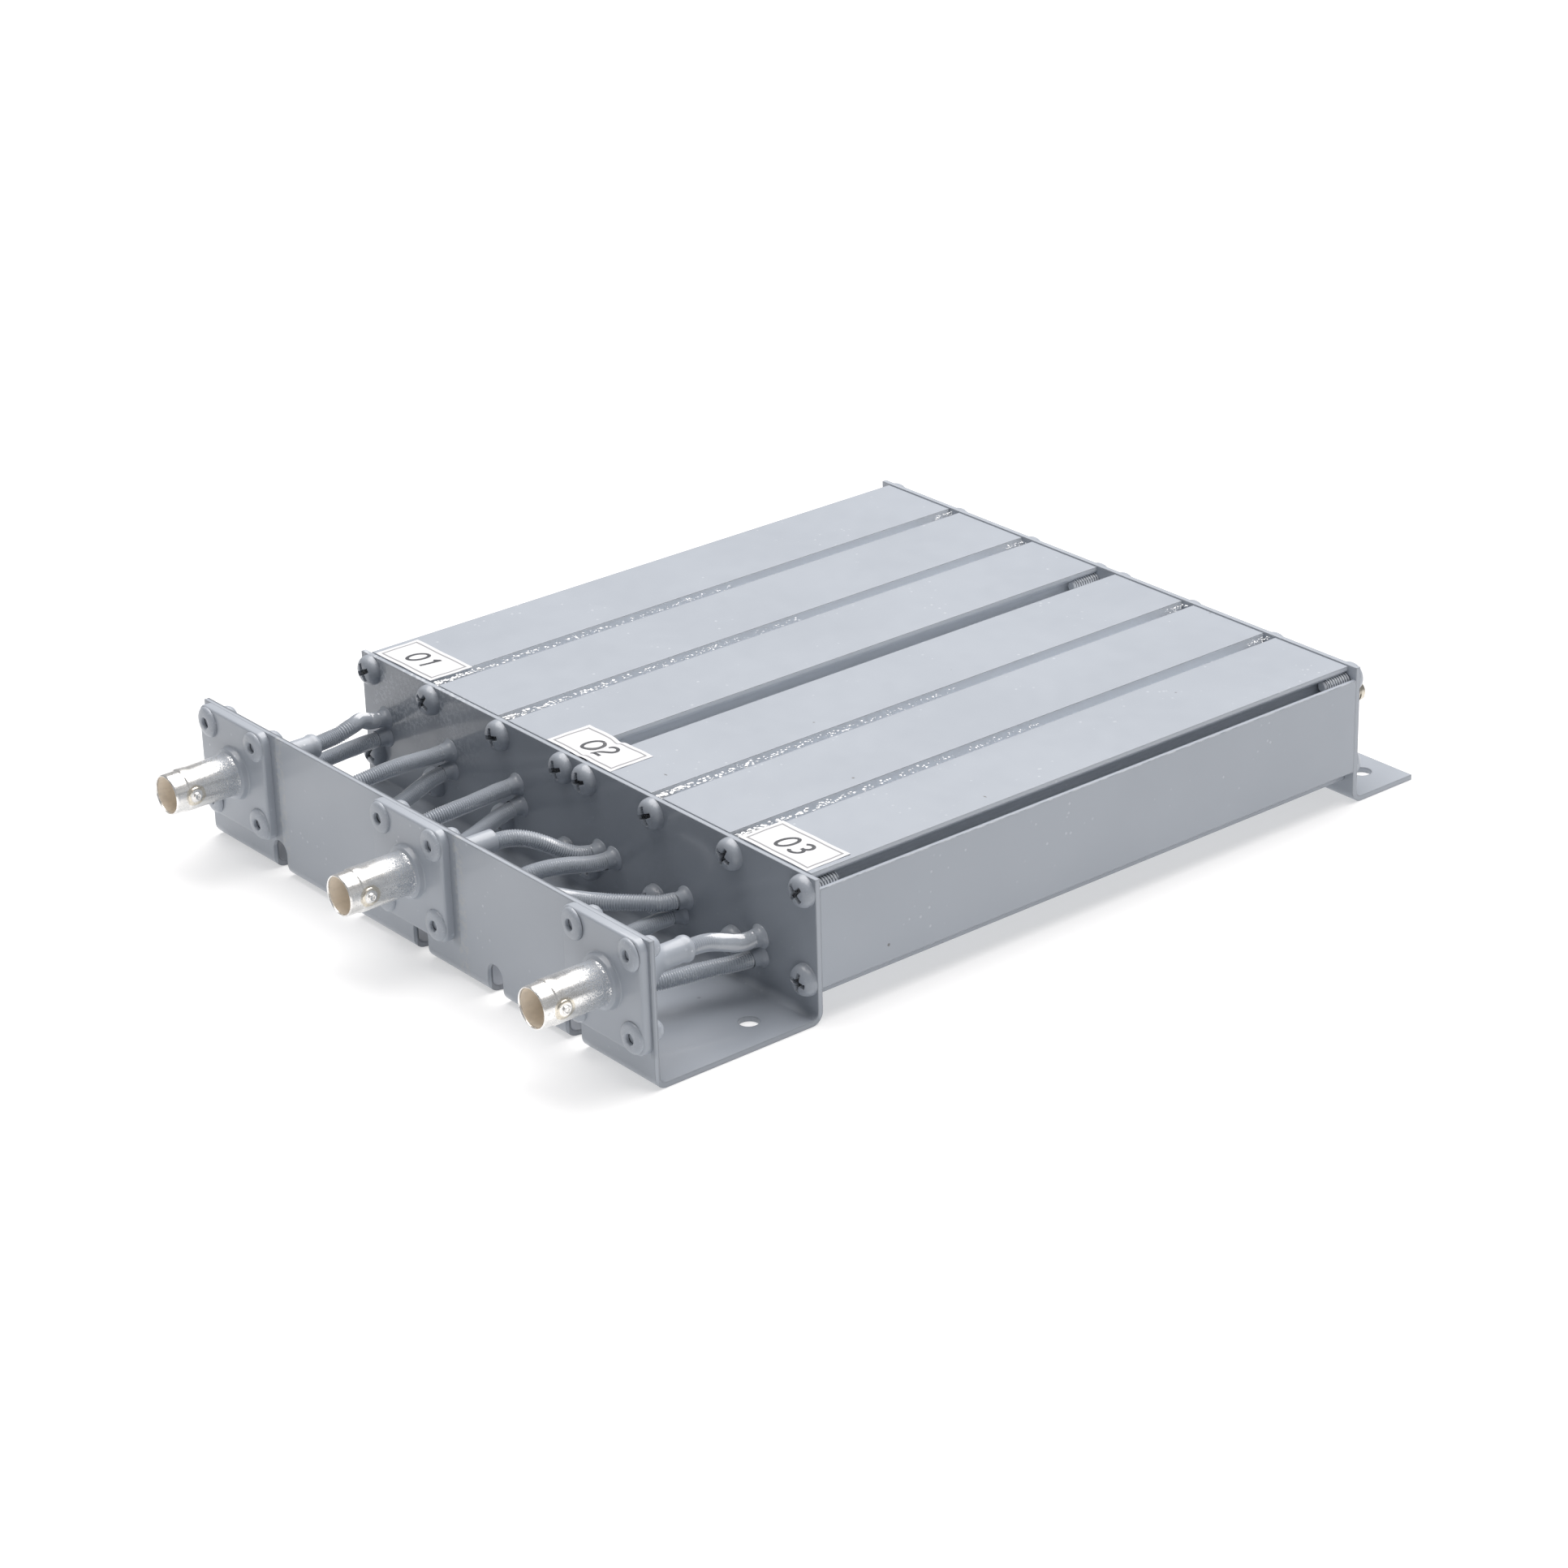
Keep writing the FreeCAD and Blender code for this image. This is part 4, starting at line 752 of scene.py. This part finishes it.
# Each link's first end, last end and the points that steer it between them
ROUTES = {
    "coax_jack_1_to_cavity_1": ("jack 0", "first_upper", [(-65.9, 28.6, 22.2), (-69.4, 33.6, 21.4)]),
    "coax_cavity_1_to_2": ("first_lower", "second_upper", [
        (-71.8, 26.5, 13.6), (-71.2, 16.5, 12.8), (-67.5, 9.5, 11.4), (-60.0, 7.6, 12.3),
        (-52.0, 9.6, 15.2), (-47.4, 16.5, 18.2), (-46.6, 26.5, 19.4)]),
    "coax_cavity_2_to_3": ("second_lower", "third_upper", [
        (-45.0, 30.0, 12.4), (-42.8, 20.5, 10.8), (-38.5, 12.5, 10.5), (-31.5, 9.5, 12.2),
        (-25.0, 12.5, 15.2), (-22.0, 20.5, 17.8), (-21.4, 29.2, 18.5)]),
    "coax_cavity_3_to_jack_2": ("branch", "third_lower", [(-15.4, 19.8, 12.8), (-18.0, 28.5, 12.9)]),
    "coax_jack_2_to_cavity_4": ("jack 1", "fourth_left", [(3.0, 28.5, 18.6), (5.2, 33.3, 15.3)]),
    "coax_cavity_4_to_5": ("fourth_right", "fifth_upper", [
        (11.6, 30.0, 15.2), (10.4, 22.4, 15.9), (10.7, 16.6, 15.3), (10.5, 11.6, 14.2),
        (7.9, 9.0, 13.0), (4.1, 9.0, 11.9), (1.5, 11.6, 11.1), (2.0, 17.0, 10.9),
        (6.5, 21.0, 10.9), (14.0, 23.0, 11.6), (22.0, 24.6, 12.8), (28.6, 27.6, 13.5),
        (33.2, 32.2, 13.6)]),
    "coax_cavity_5_to_6": ("fifth_lower", "sixth_lower", [
        (35.4, 29.5, 8.6), (36.3, 20.5, 8.4), (39.8, 12.8, 8.3), (47.0, 9.2, 8.5),
        (53.8, 12.0, 8.6), (57.2, 19.5, 8.7), (59.0, 29.0, 8.9)]),
    "coax_jack_3_to_cavity_6": ("jack 2", "sixth_upper", [(66.4, 28.2, 18.2), (63.6, 33.5, 15.0)]),
}


def entry_place(entry, y):
    """The middle of an entry at a given y."""
    cavity, across, up = ENTRIES[entry]
    return Vector((CHAMBERS[cavity] + across, y, CHAMBER_Z + up))


def link_end(end):
    """The outermost two points of a link's end, from the outside in."""
    if end.startswith("jack"):
        jack = JACKS[int(end.split()[1])]
        return [Vector((jack, CABLE_START, JACK_Z)), Vector((jack, HOOD_END + CABLE_LEAD, JACK_Z))]
    if end == "branch":
        return [BRANCH_AXIS + BRANCH_WAY * 3.2, BRANCH_AXIS + BRANCH_WAY * (10.5 + CABLE_LEAD)]
    return [entry_place(end, WALL_REAR - 0.2), entry_place(end, WALL_REAR - CABLE_EXIT)]


def smooth_line(points):
    """The line of a smooth spline steered by the route's points, as a list of places."""
    curve = bpy.data.curves.new("route", "CURVE")
    curve.dimensions = "3D"
    curve.resolution_u = 20
    spline = curve.splines.new("NURBS")
    spline.points.add(len(points) - 1)
    for target, point in zip(spline.points, points):
        target.co = (*point, 1.0)
    spline.order_u = 3
    spline.use_endpoint_u = True
    holder = bpy.data.objects.new("route", curve)
    mesh = bpy.data.meshes.new_from_object(holder)
    line = [vert.co.copy() for vert in mesh.vertices]
    bpy.data.meshes.remove(mesh)
    bpy.data.objects.remove(holder)
    bpy.data.curves.remove(curve)
    return line


def even_places(line, spacing):
    """Places at an even spacing along a line, with the way the line runs at each."""
    lengths = [0.0]
    for before, after in zip(line, line[1:]):
        lengths.append(lengths[-1] + (after - before).length)
    count = max(2, round(lengths[-1] / spacing))
    places = []
    index = 0
    for step in range(count + 1):
        wanted = lengths[-1] * step / count
        while index < len(line) - 2 and lengths[index + 1] < wanted:
            index += 1
        span = max(1e-9, lengths[index + 1] - lengths[index])
        share = (wanted - lengths[index]) / span
        places.append(line[index].lerp(line[index + 1], share))
    ways = []
    for step in range(len(places)):
        low = places[max(0, step - 2)]
        high = places[min(len(places) - 1, step + 2)]
        ways.append((high - low).normalized())
    return places, ways, lengths[-1]


def tube(line, spacing, radius_at, steps=18):
    """A closed tube round a line, with a radius for each place along and round it."""
    places, ways, length = even_places(line, spacing)
    side = ways[0].orthogonal().normalized()
    verts = []
    for index, (place, way) in enumerate(zip(places, ways)):
        side = (side - way * side.dot(way)).normalized()
        other = way.cross(side)
        along = length * index / (len(places) - 1)
        for angle in around(steps):
            reach = radius_at(along, length, index, angle)
            verts.append(place + (side * math.cos(angle) + other * math.sin(angle)) * reach)
    faces = ring_faces(len(places), steps)
    faces.append(tuple(reversed(range(steps))))
    faces.append(tuple(range(len(verts) - steps, len(verts))))
    return verts, faces


def make_links():
    """The links, whose ribs fade out under the paint at the wall, and the rings round their entries."""
    coat = cable_paint()
    ring_coat = paint("painted_entry_rings", 0.0, 0.5, None, 0.5)
    shift = Matrix.Translation(Vector((0, SHIFT_Y * MM, 0))) @ Matrix.Scale(MM, 4)
    for name, (first, last, middle) in ROUTES.items():
        points = link_end(first) + [Vector(spot) for spot in middle] + link_end(last)[::-1]
        phase = random.uniform(0, 9)

        def radius_at(along, length, index, angle):
            from_wall = min(along if first in ENTRIES else length, length - along)
            ribs = smooth((from_wall - 2.0) / 2.5)
            swell = 0.05 * math.sin(along * 0.42 + phase) + 0.03 * math.sin(along * 1.3 + angle)
            return CABLE_RADIUS - 0.06 + swell * 0.6 + (RIB_HEIGHT if index % 2 else -RIB_HEIGHT) * ribs

        form = Form()
        form.add(shift, *tube(smooth_line(points), RIB_SPACING, radius_at))
        piece = form.build(f"{name}_detail", [coat], 60)
        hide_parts(name)
    form = Form()
    for entry in ENTRIES:
        seat = towards(row(*entry_place(entry, WALL_FRONT)), (0, -1, 0))

        def lump(angle, radius, z, shift=random.uniform(0, 6)):
            return 0.05 * math.sin(2 * angle + shift) + 0.03 * math.sin(5 * angle - shift)

        outline = [(2.72, -0.05), (2.66, 0.12), (2.44, 0.32), (2.16, 0.60), (2.02, 1.0), (1.93, 1.6),
                   (1.86, 2.2), (1.80, 2.8)]
        form.add(seat, *lathe(outline, 32, 0, lump))
    piece = form.build("cable_entry_rings_detail", [ring_coat], 60)
    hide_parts("cable_entry_rings")


# Tuning screws and nuts

TUNER_RADIUS = 2.4
TUNER_THREAD = 0.30
TUNER_PITCH = 0.79
TUNER_STAND = 14.4
TUNER_LENGTH = 52.5
THREAD_END = 18.0
NUT_HALF = 4.75
NUT_HEIGHT = 3.2
NUT_STEPS = 72


def slot_height(radius, angle):
    """The slotted tip of a tuning screw, 0 on its flat and below 0 in the slot and at the rim."""
    aside = abs(radius * math.sin(angle))
    return -1.4 * smooth((0.5 - aside) / 0.08) - 0.28 * smooth((radius - 2.05) / 0.35)


def nut_form():
    """A hexagon nut with chamfered corners, as rings from its foot over its top and down its bore."""
    angles = around(NUT_STEPS)
    verts = []
    for z in (0.0, 0.45, 2.75, NUT_HEIGHT):
        for angle in angles:
            fold = (angle + math.pi / 6) % (math.pi / 3) - math.pi / 6
            reach = NUT_HALF / math.cos(fold)
            level = z
            if z in (0.0, NUT_HEIGHT):
                rise = (reach - NUT_HALF) * 0.58
                reach = min(reach, NUT_HALF + rise * 0.6)
                level = rise if z == 0.0 else NUT_HEIGHT - rise
            verts.append(polar(reach, angle, level))
    for z, radius in ((NUT_HEIGHT, 4.45), (NUT_HEIGHT, 2.75), (2.95, 2.46), (0.2, 2.46)):
        verts += [polar(radius, angle, z) for angle in angles]
    return verts, ring_faces(len(verts) // NUT_STEPS, NUT_STEPS)


def make_tuners():
    """Slotted screws, threaded where they show, each on its own body, and their lock nuts."""
    plated = metal("tuner_plating", (0.62, 0.58, 0.50), (0.48, 0.45, 0.40), 0.24, (1, 1, 1), 1200.0)
    nut_metal = metal("nut_plating", (0.60, 0.60, 0.58), (0.46, 0.46, 0.45), 0.26, (1, 1, 0.1), 1400.0)
    nuts = Form()
    for number, x in enumerate(CHAMBERS, start=1):
        tip = row(x, PLATE_REAR + TUNER_STAND, CHAMBER_Z)
        form = Form()
        radii = [0.3, 0.45, 0.55, 0.7, 0.9, 1.1, 1.35, 1.6, 1.85, 2.05, 2.2, 2.3]
        form.add(towards(tip, (0, 1, 0), random.uniform(0, 3)), *dish(radii, 56, slot_height))
        back = towards(tip, (0, -1, 0))
        form.add(back, *lathe([(2.3, 0.28), (2.34, 0.5), (2.38, 1.5)], 56))
        form.add(back, *threaded(TUNER_RADIUS, TUNER_THREAD, TUNER_PITCH, 0.55, THREAD_END, 28))
        core = [(2.25, THREAD_END), (2.25, TUNER_LENGTH - 0.3), (2.0, TUNER_LENGTH), (0, TUNER_LENGTH)]
        form.add(back, *lathe(core, 28))
        piece = form.build(f"tuning_screw_{number}_detail", [plated], 40, f"tuner_{number}")
        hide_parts(f"tuning_screw_{number}")
        nuts.add(towards(row(x, PLATE_REAR, CHAMBER_Z), (0, 1, 0), random.uniform(0, 1)), *nut_form())
    piece = nuts.build("lock_nuts_detail", [nut_metal], 28)
    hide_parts("lock_nuts")


# Paint flecks that bridge the grooves over the webs

GROOVE_HALF = 1.0
FRONT_FLECKS = 230
REAR_FLECKS = 32
FRONT_REACH = 84.0
REAR_REACH = 6.5
LAST_FLECK = PLATE_FRONT - WALL_REAR - 1.2


def add_fleck(form, web, back):
    """One ragged chip in a web's groove, at a distance behind the end wall."""
    limit = GROOVE_HALF + 0.05
    size = random.uniform(0.14, 0.46) * max(0.6, 1.25 - back / 90.0)
    x = web + random.uniform(-1, 1) * (GROOVE_HALF - 0.45 * size)
    y = WALL_REAR + 0.6 + back
    z = PROFILE_TOP - random.uniform(0.10, 0.55)
    lean = random.uniform(-0.3, 0.3)
    turn = random.uniform(0, math.tau)
    sides = random.choice((5, 6, 7))
    ring = []
    for side in range(sides):
        angle = turn + math.tau * side / sides
        reach = size * random.uniform(0.45, 1.0)
        across = max(web - limit, min(web + limit, x + reach * math.cos(angle)))
        ring.append((across, y + 1.3 * reach * math.sin(angle), z + lean * (across - x)))
    top = [row(*spot) for spot in ring]
    under = [row(spot[0], spot[1], spot[2] - 0.08) for spot in ring]
    faces = [tuple(range(sides)), tuple(reversed(range(sides, 2 * sides)))]
    for side in range(sides):
        after = (side + 1) % sides
        faces.append((side, side + sides, after + sides, after))
    form.add(Matrix.Identity(4), top + under, faces)


def make_flecks():
    """Chips of white primer in the mouth of each web groove, most at the front and a few at the rear."""
    form = Form()
    for web in WEBS:
        for chip in range(FRONT_FLECKS + REAR_FLECKS):
            if chip < FRONT_FLECKS:
                back = FRONT_REACH * random.random() ** 1.7
            else:
                back = LAST_FLECK - REAR_REACH * random.random() ** 1.3
            add_fleck(form, web, back)
    piece = form.build("groove_flecks", [fleck_white()], 30)


# Labels

# Node, left edge, width, digits and whether the paper spans the gap between the extrusions
LABELS = [("label_left", -76.0, 21.4, "01", False), ("label_middle", -11.2, 22.4, "02", True),
          ("label_right", 54.6, 21.4, "03", False)]
LABEL_LENGTH = 11.5
DIGIT_HEIGHT = 5.0
DIGIT_WIDTH = 3.1
DIGIT_SHEAR = 0.2
DIGIT_PITCH = 1.45 * DIGIT_WIDTH
STROKE = 0.85
INK_HEIGHT = 0.015
LABEL_COLUMNS = 44
LABEL_ROWS = 24
PAPER_THICKNESS = 0.10


def digit_line(digit, steps=28):
    """The pen's line for one digit, in a box 1 wide and 1 high."""
    def arc(centre_x, centre_y, wide, high, start, end):
        return [(centre_x + wide * math.cos(math.radians(start + (end - start) * step / steps)),
                 centre_y + high * math.sin(math.radians(start + (end - start) * step / steps)))
                for step in range(steps + 1)]

    def run(start, end):
        return [(start[0] + (end[0] - start[0]) * step / steps,
                 start[1] + (end[1] - start[1]) * step / steps) for step in range(steps + 1)]

    if digit == "0":
        return arc(0.5, 0.5, 0.5, 0.5, 90, 450)
    if digit == "1":
        return run((0.22, 0.78), (0.55, 1.0)) + run((0.55, 0.98), (0.55, 0.0))
    if digit == "2":
        return (arc(0.5, 0.72, 0.46, 0.28, 165, -25) + run((0.90, 0.58), (0.04, 0.02))
                + run((0.06, 0.0), (1.0, 0.0)))
    return arc(0.48, 0.75, 0.42, 0.25, 150, -90) + arc(0.48, 0.26, 0.48, 0.26, 90, -150)


def add_ribbon(form, line, middle_x, middle_y, wavy):
    """A flat ribbon of ink along a pen's line, laid on the paper."""
    spots = [Vector((middle_x + (u - 0.5) * DIGIT_WIDTH + DIGIT_SHEAR * (v - 0.5) * DIGIT_HEIGHT,
                     middle_y + (v - 0.5) * DIGIT_HEIGHT)) for u, v in line]
    verts = []
    for index, spot in enumerate(spots):
        way = (spots[min(len(spots) - 1, index + 1)] - spots[max(0, index - 1)]).normalized()
        aside = Vector((-way.y, way.x)) * STROKE / 2
        for edge in (spot - aside, spot + aside):
            level = PROFILE_TOP + label_height(edge.x, edge.y, wavy) + INK_HEIGHT
            verts.append(row(edge.x, edge.y, level))
    faces = [(2 * index, 2 * index + 2, 2 * index + 3, 2 * index + 1) for index in range(len(spots) - 1)]
    form.add(Matrix.Identity(4), verts, faces)


def label_height(x, y, wavy):
    """Height of the paper over the cavities, in millimetres, lifted and dipped where it spans the gap."""
    lift = 0.13 + 0.04 * math.sin(x * 0.55 + y * 0.3) + 0.03 * math.sin(y * 0.9 - x * 0.2)
    if wavy:
        dip = -0.50 * math.exp(-((x + 0.3) / 1.25) ** 2) * smooth((y - 42.5) / 5 + 0.35)
        rise = 0.04 * math.sin(x * 0.9 + 0.6) + 0.02
        lift += dip + rise
    return min(0.27, max(lift, 0.05 if abs(x) > 2.6 else -1.0))


def paper_form(left, width, wavy):
    """A sheet of paper with a top, an underside and a rim, and its place on the label as its map."""
    form = Form()
    wide = LABEL_COLUMNS + 1
    below = wide * (LABEL_ROWS + 1)
    for level in (0.0, -PAPER_THICKNESS):
        for line in range(LABEL_ROWS + 1):
            for column in range(wide):
                u = column / LABEL_COLUMNS
                v = line / LABEL_ROWS
                x = left + width * u
                y = WALL_REAR + LABEL_LENGTH * v
                form.verts.append(row(x, y, PROFILE_TOP + label_height(x, y, wavy) + level))
                form.uvs.append((u, v))
    for line in range(LABEL_ROWS):
        for column in range(LABEL_COLUMNS):
            corner = line * wide + column
            form.faces.append((corner, corner + 1, corner + wide + 1, corner + wide))
            lower = below + corner
            form.faces.append((lower, lower + wide, lower + wide + 1, lower + 1))
    rim = (list(range(LABEL_COLUMNS))
           + [line * wide + LABEL_COLUMNS for line in range(LABEL_ROWS)]
           + [LABEL_ROWS * wide + column for column in range(LABEL_COLUMNS, 0, -1)]
           + [line * wide for line in range(LABEL_ROWS, 0, -1)])
    for index, corner in enumerate(rim):
        after = rim[(index + 1) % len(rim)]
        form.faces.append((corner, below + corner, below + after, after))
    form.slots = [0] * len(form.faces)
    return form


def make_labels():
    """Paper labels on the front edge of the top, each with a plain number."""
    printed = ink()
    for node, left, width, digits, wavy in LABELS:
        stock = paper(f"{node}_paper", width, LABEL_LENGTH)
        piece = paper_form(left, width, wavy).build(node + "_detail", [stock], 60)
        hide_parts(node)
        inked = Form()
        for place, digit in enumerate(digits):
            middle = left + width / 2 + (place - (len(digits) - 1) / 2) * DIGIT_PITCH
            add_ribbon(inked, digit_line(digit), middle, WALL_REAR + LABEL_LENGTH / 2, wavy)
        number = inked.build(f"{node}_number", [printed], 60)


def dress(node, material):
    """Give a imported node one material."""
    materials = NODES[node].data.materials
    materials.clear()
    materials.append(material)


def dress_nodes():
    """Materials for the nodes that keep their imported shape."""
    dress("front_bracket", paint("painted_front_sheet", 0.0005, 0.35, front_extra, gloss=0.4))
    dress("rear_bracket", paint("painted_rear_sheet", 0.0005, 0.35))
    extrusion = paint("painted_extrusion", 0.0005, 0.35, profile_extra)
    dress("left_cavity_profile", extrusion)
    dress("right_cavity_profile", extrusion)
    dress("tuning_bushings", metal("bushing_brass", (0.62, 0.50, 0.28), (0.50, 0.40, 0.24), 0.28))
    rod = metal("turned_aluminium", (0.80, 0.80, 0.80), (0.68, 0.68, 0.68), 0.22, (0.05, 1, 0.05), 1600.0)
    for number in range(1, 7):
        dress(f"resonator_rod_{number}", rod)
    dress("coupling_loops", metal("loop_copper", (0.72, 0.46, 0.32), (0.60, 0.36, 0.25), 0.25))
    gold = metal("contact_gold", (0.85, 0.66, 0.30), (0.70, 0.52, 0.24), 0.20)
    white = fluoropolymer()
    for number in range(1, 4):
        dress(f"jack_contact_{number}", gold)
        dress(f"jack_insulator_{number}", white)


# Camera, floor and light

# The camera solved from the photo: place in millimetres, and azimuth, elevation and roll in degrees
CAMERA_PLACE = (663.0, -531.95, 400.8)
CAMERA_TURN = (51.238, 24.767, -1.662)
SENSOR = 36.0
LENS = 96.607
# The floor lies a hair under the unit, so that it doesn't share a plane with the underside
FLOOR_HALF = 4
FLOOR_LEVEL = -0.0001
LIGHT_AIM = Vector((0, 0, 0.015))


def make_camera():
    """The photo's camera."""
    data = bpy.data.cameras.new("camera")
    camera = placed("camera", data)
    azimuth, elevation, roll = (math.radians(value) for value in CAMERA_TURN)
    forward = Vector((-math.sin(azimuth) * math.cos(elevation), math.cos(azimuth) * math.cos(elevation),
                      -math.sin(elevation)))
    right = Vector((math.cos(azimuth), math.sin(azimuth), 0))
    up = right.cross(forward)
    turned_right = math.cos(roll) * right + math.sin(roll) * up
    turned_up = -math.sin(roll) * right + math.cos(roll) * up
    basis = Matrix((turned_right, turned_up, -forward)).transposed()
    camera.matrix_world = Matrix.Translation(Vector(CAMERA_PLACE) * MM) @ basis.to_4x4()
    data.sensor_width = SENSOR
    data.lens = LENS
    data.clip_start = 0.01
    data.clip_end = 20.0
    bpy.context.scene.camera = camera


def area_light(name, place, size, power, colour=(1, 1, 1)):
    """A rectangular light that points at the unit."""
    data = bpy.data.lights.new(name, "AREA")
    data.shape = "RECTANGLE"
    data.size, data.size_y = size
    data.energy = power
    data.color = colour
    lamp = placed(name, data)
    lamp.location = place
    lamp.rotation_mode = "QUATERNION"
    lamp.rotation_quaternion = (LIGHT_AIM - Vector(place)).to_track_quat("-Z", "Y")


def make_studio():
    """A pale floor that glows softly, a pale sky, a broad light overhead and a faint one from the right."""
    mesh = bpy.data.meshes.new("floor")
    far = FLOOR_HALF
    corners = [(x, y, FLOOR_LEVEL) for x, y in ((-far, -far), (far, -far), (far, far), (-far, far))]
    mesh.from_pydata(corners, [], [(0, 1, 2, 3)])
    floor = placed("floor", mesh)
    m = Nodes("floor_white")
    m.surface(m.mix(m.noise(3.0), (0.50, 0.503, 0.51), (0.52, 0.523, 0.53)), 0.9)
    m.set("Emission Color", (1.0, 1.0, 1.0))
    m.set("Emission Strength", 0.50)
    mesh.materials.append(m.material)
    world = bpy.data.worlds.new("studio")
    world.use_nodes = True
    sky = world.node_tree.nodes["Background"]
    sky.inputs["Color"].default_value = (0.96, 0.975, 1.0, 1.0)
    sky.inputs["Strength"].default_value = 0.28
    bpy.context.scene.world = world
    area_light("overhead", (-0.10, 0.22, 0.95), (1.2, 1.2), 20.5, colour=(1.0, 0.965, 0.94))
    area_light("right", (1.2, -0.1, 0.45), (0.9, 0.7), 0.3)


bpy.context.scene.view_settings.view_transform = "Standard"
make_camera()
dress_nodes()
make_screws()
make_rivets()
make_jacks()
make_hoods()
make_links()
make_tuners()
make_flecks()
make_labels()
make_studio()
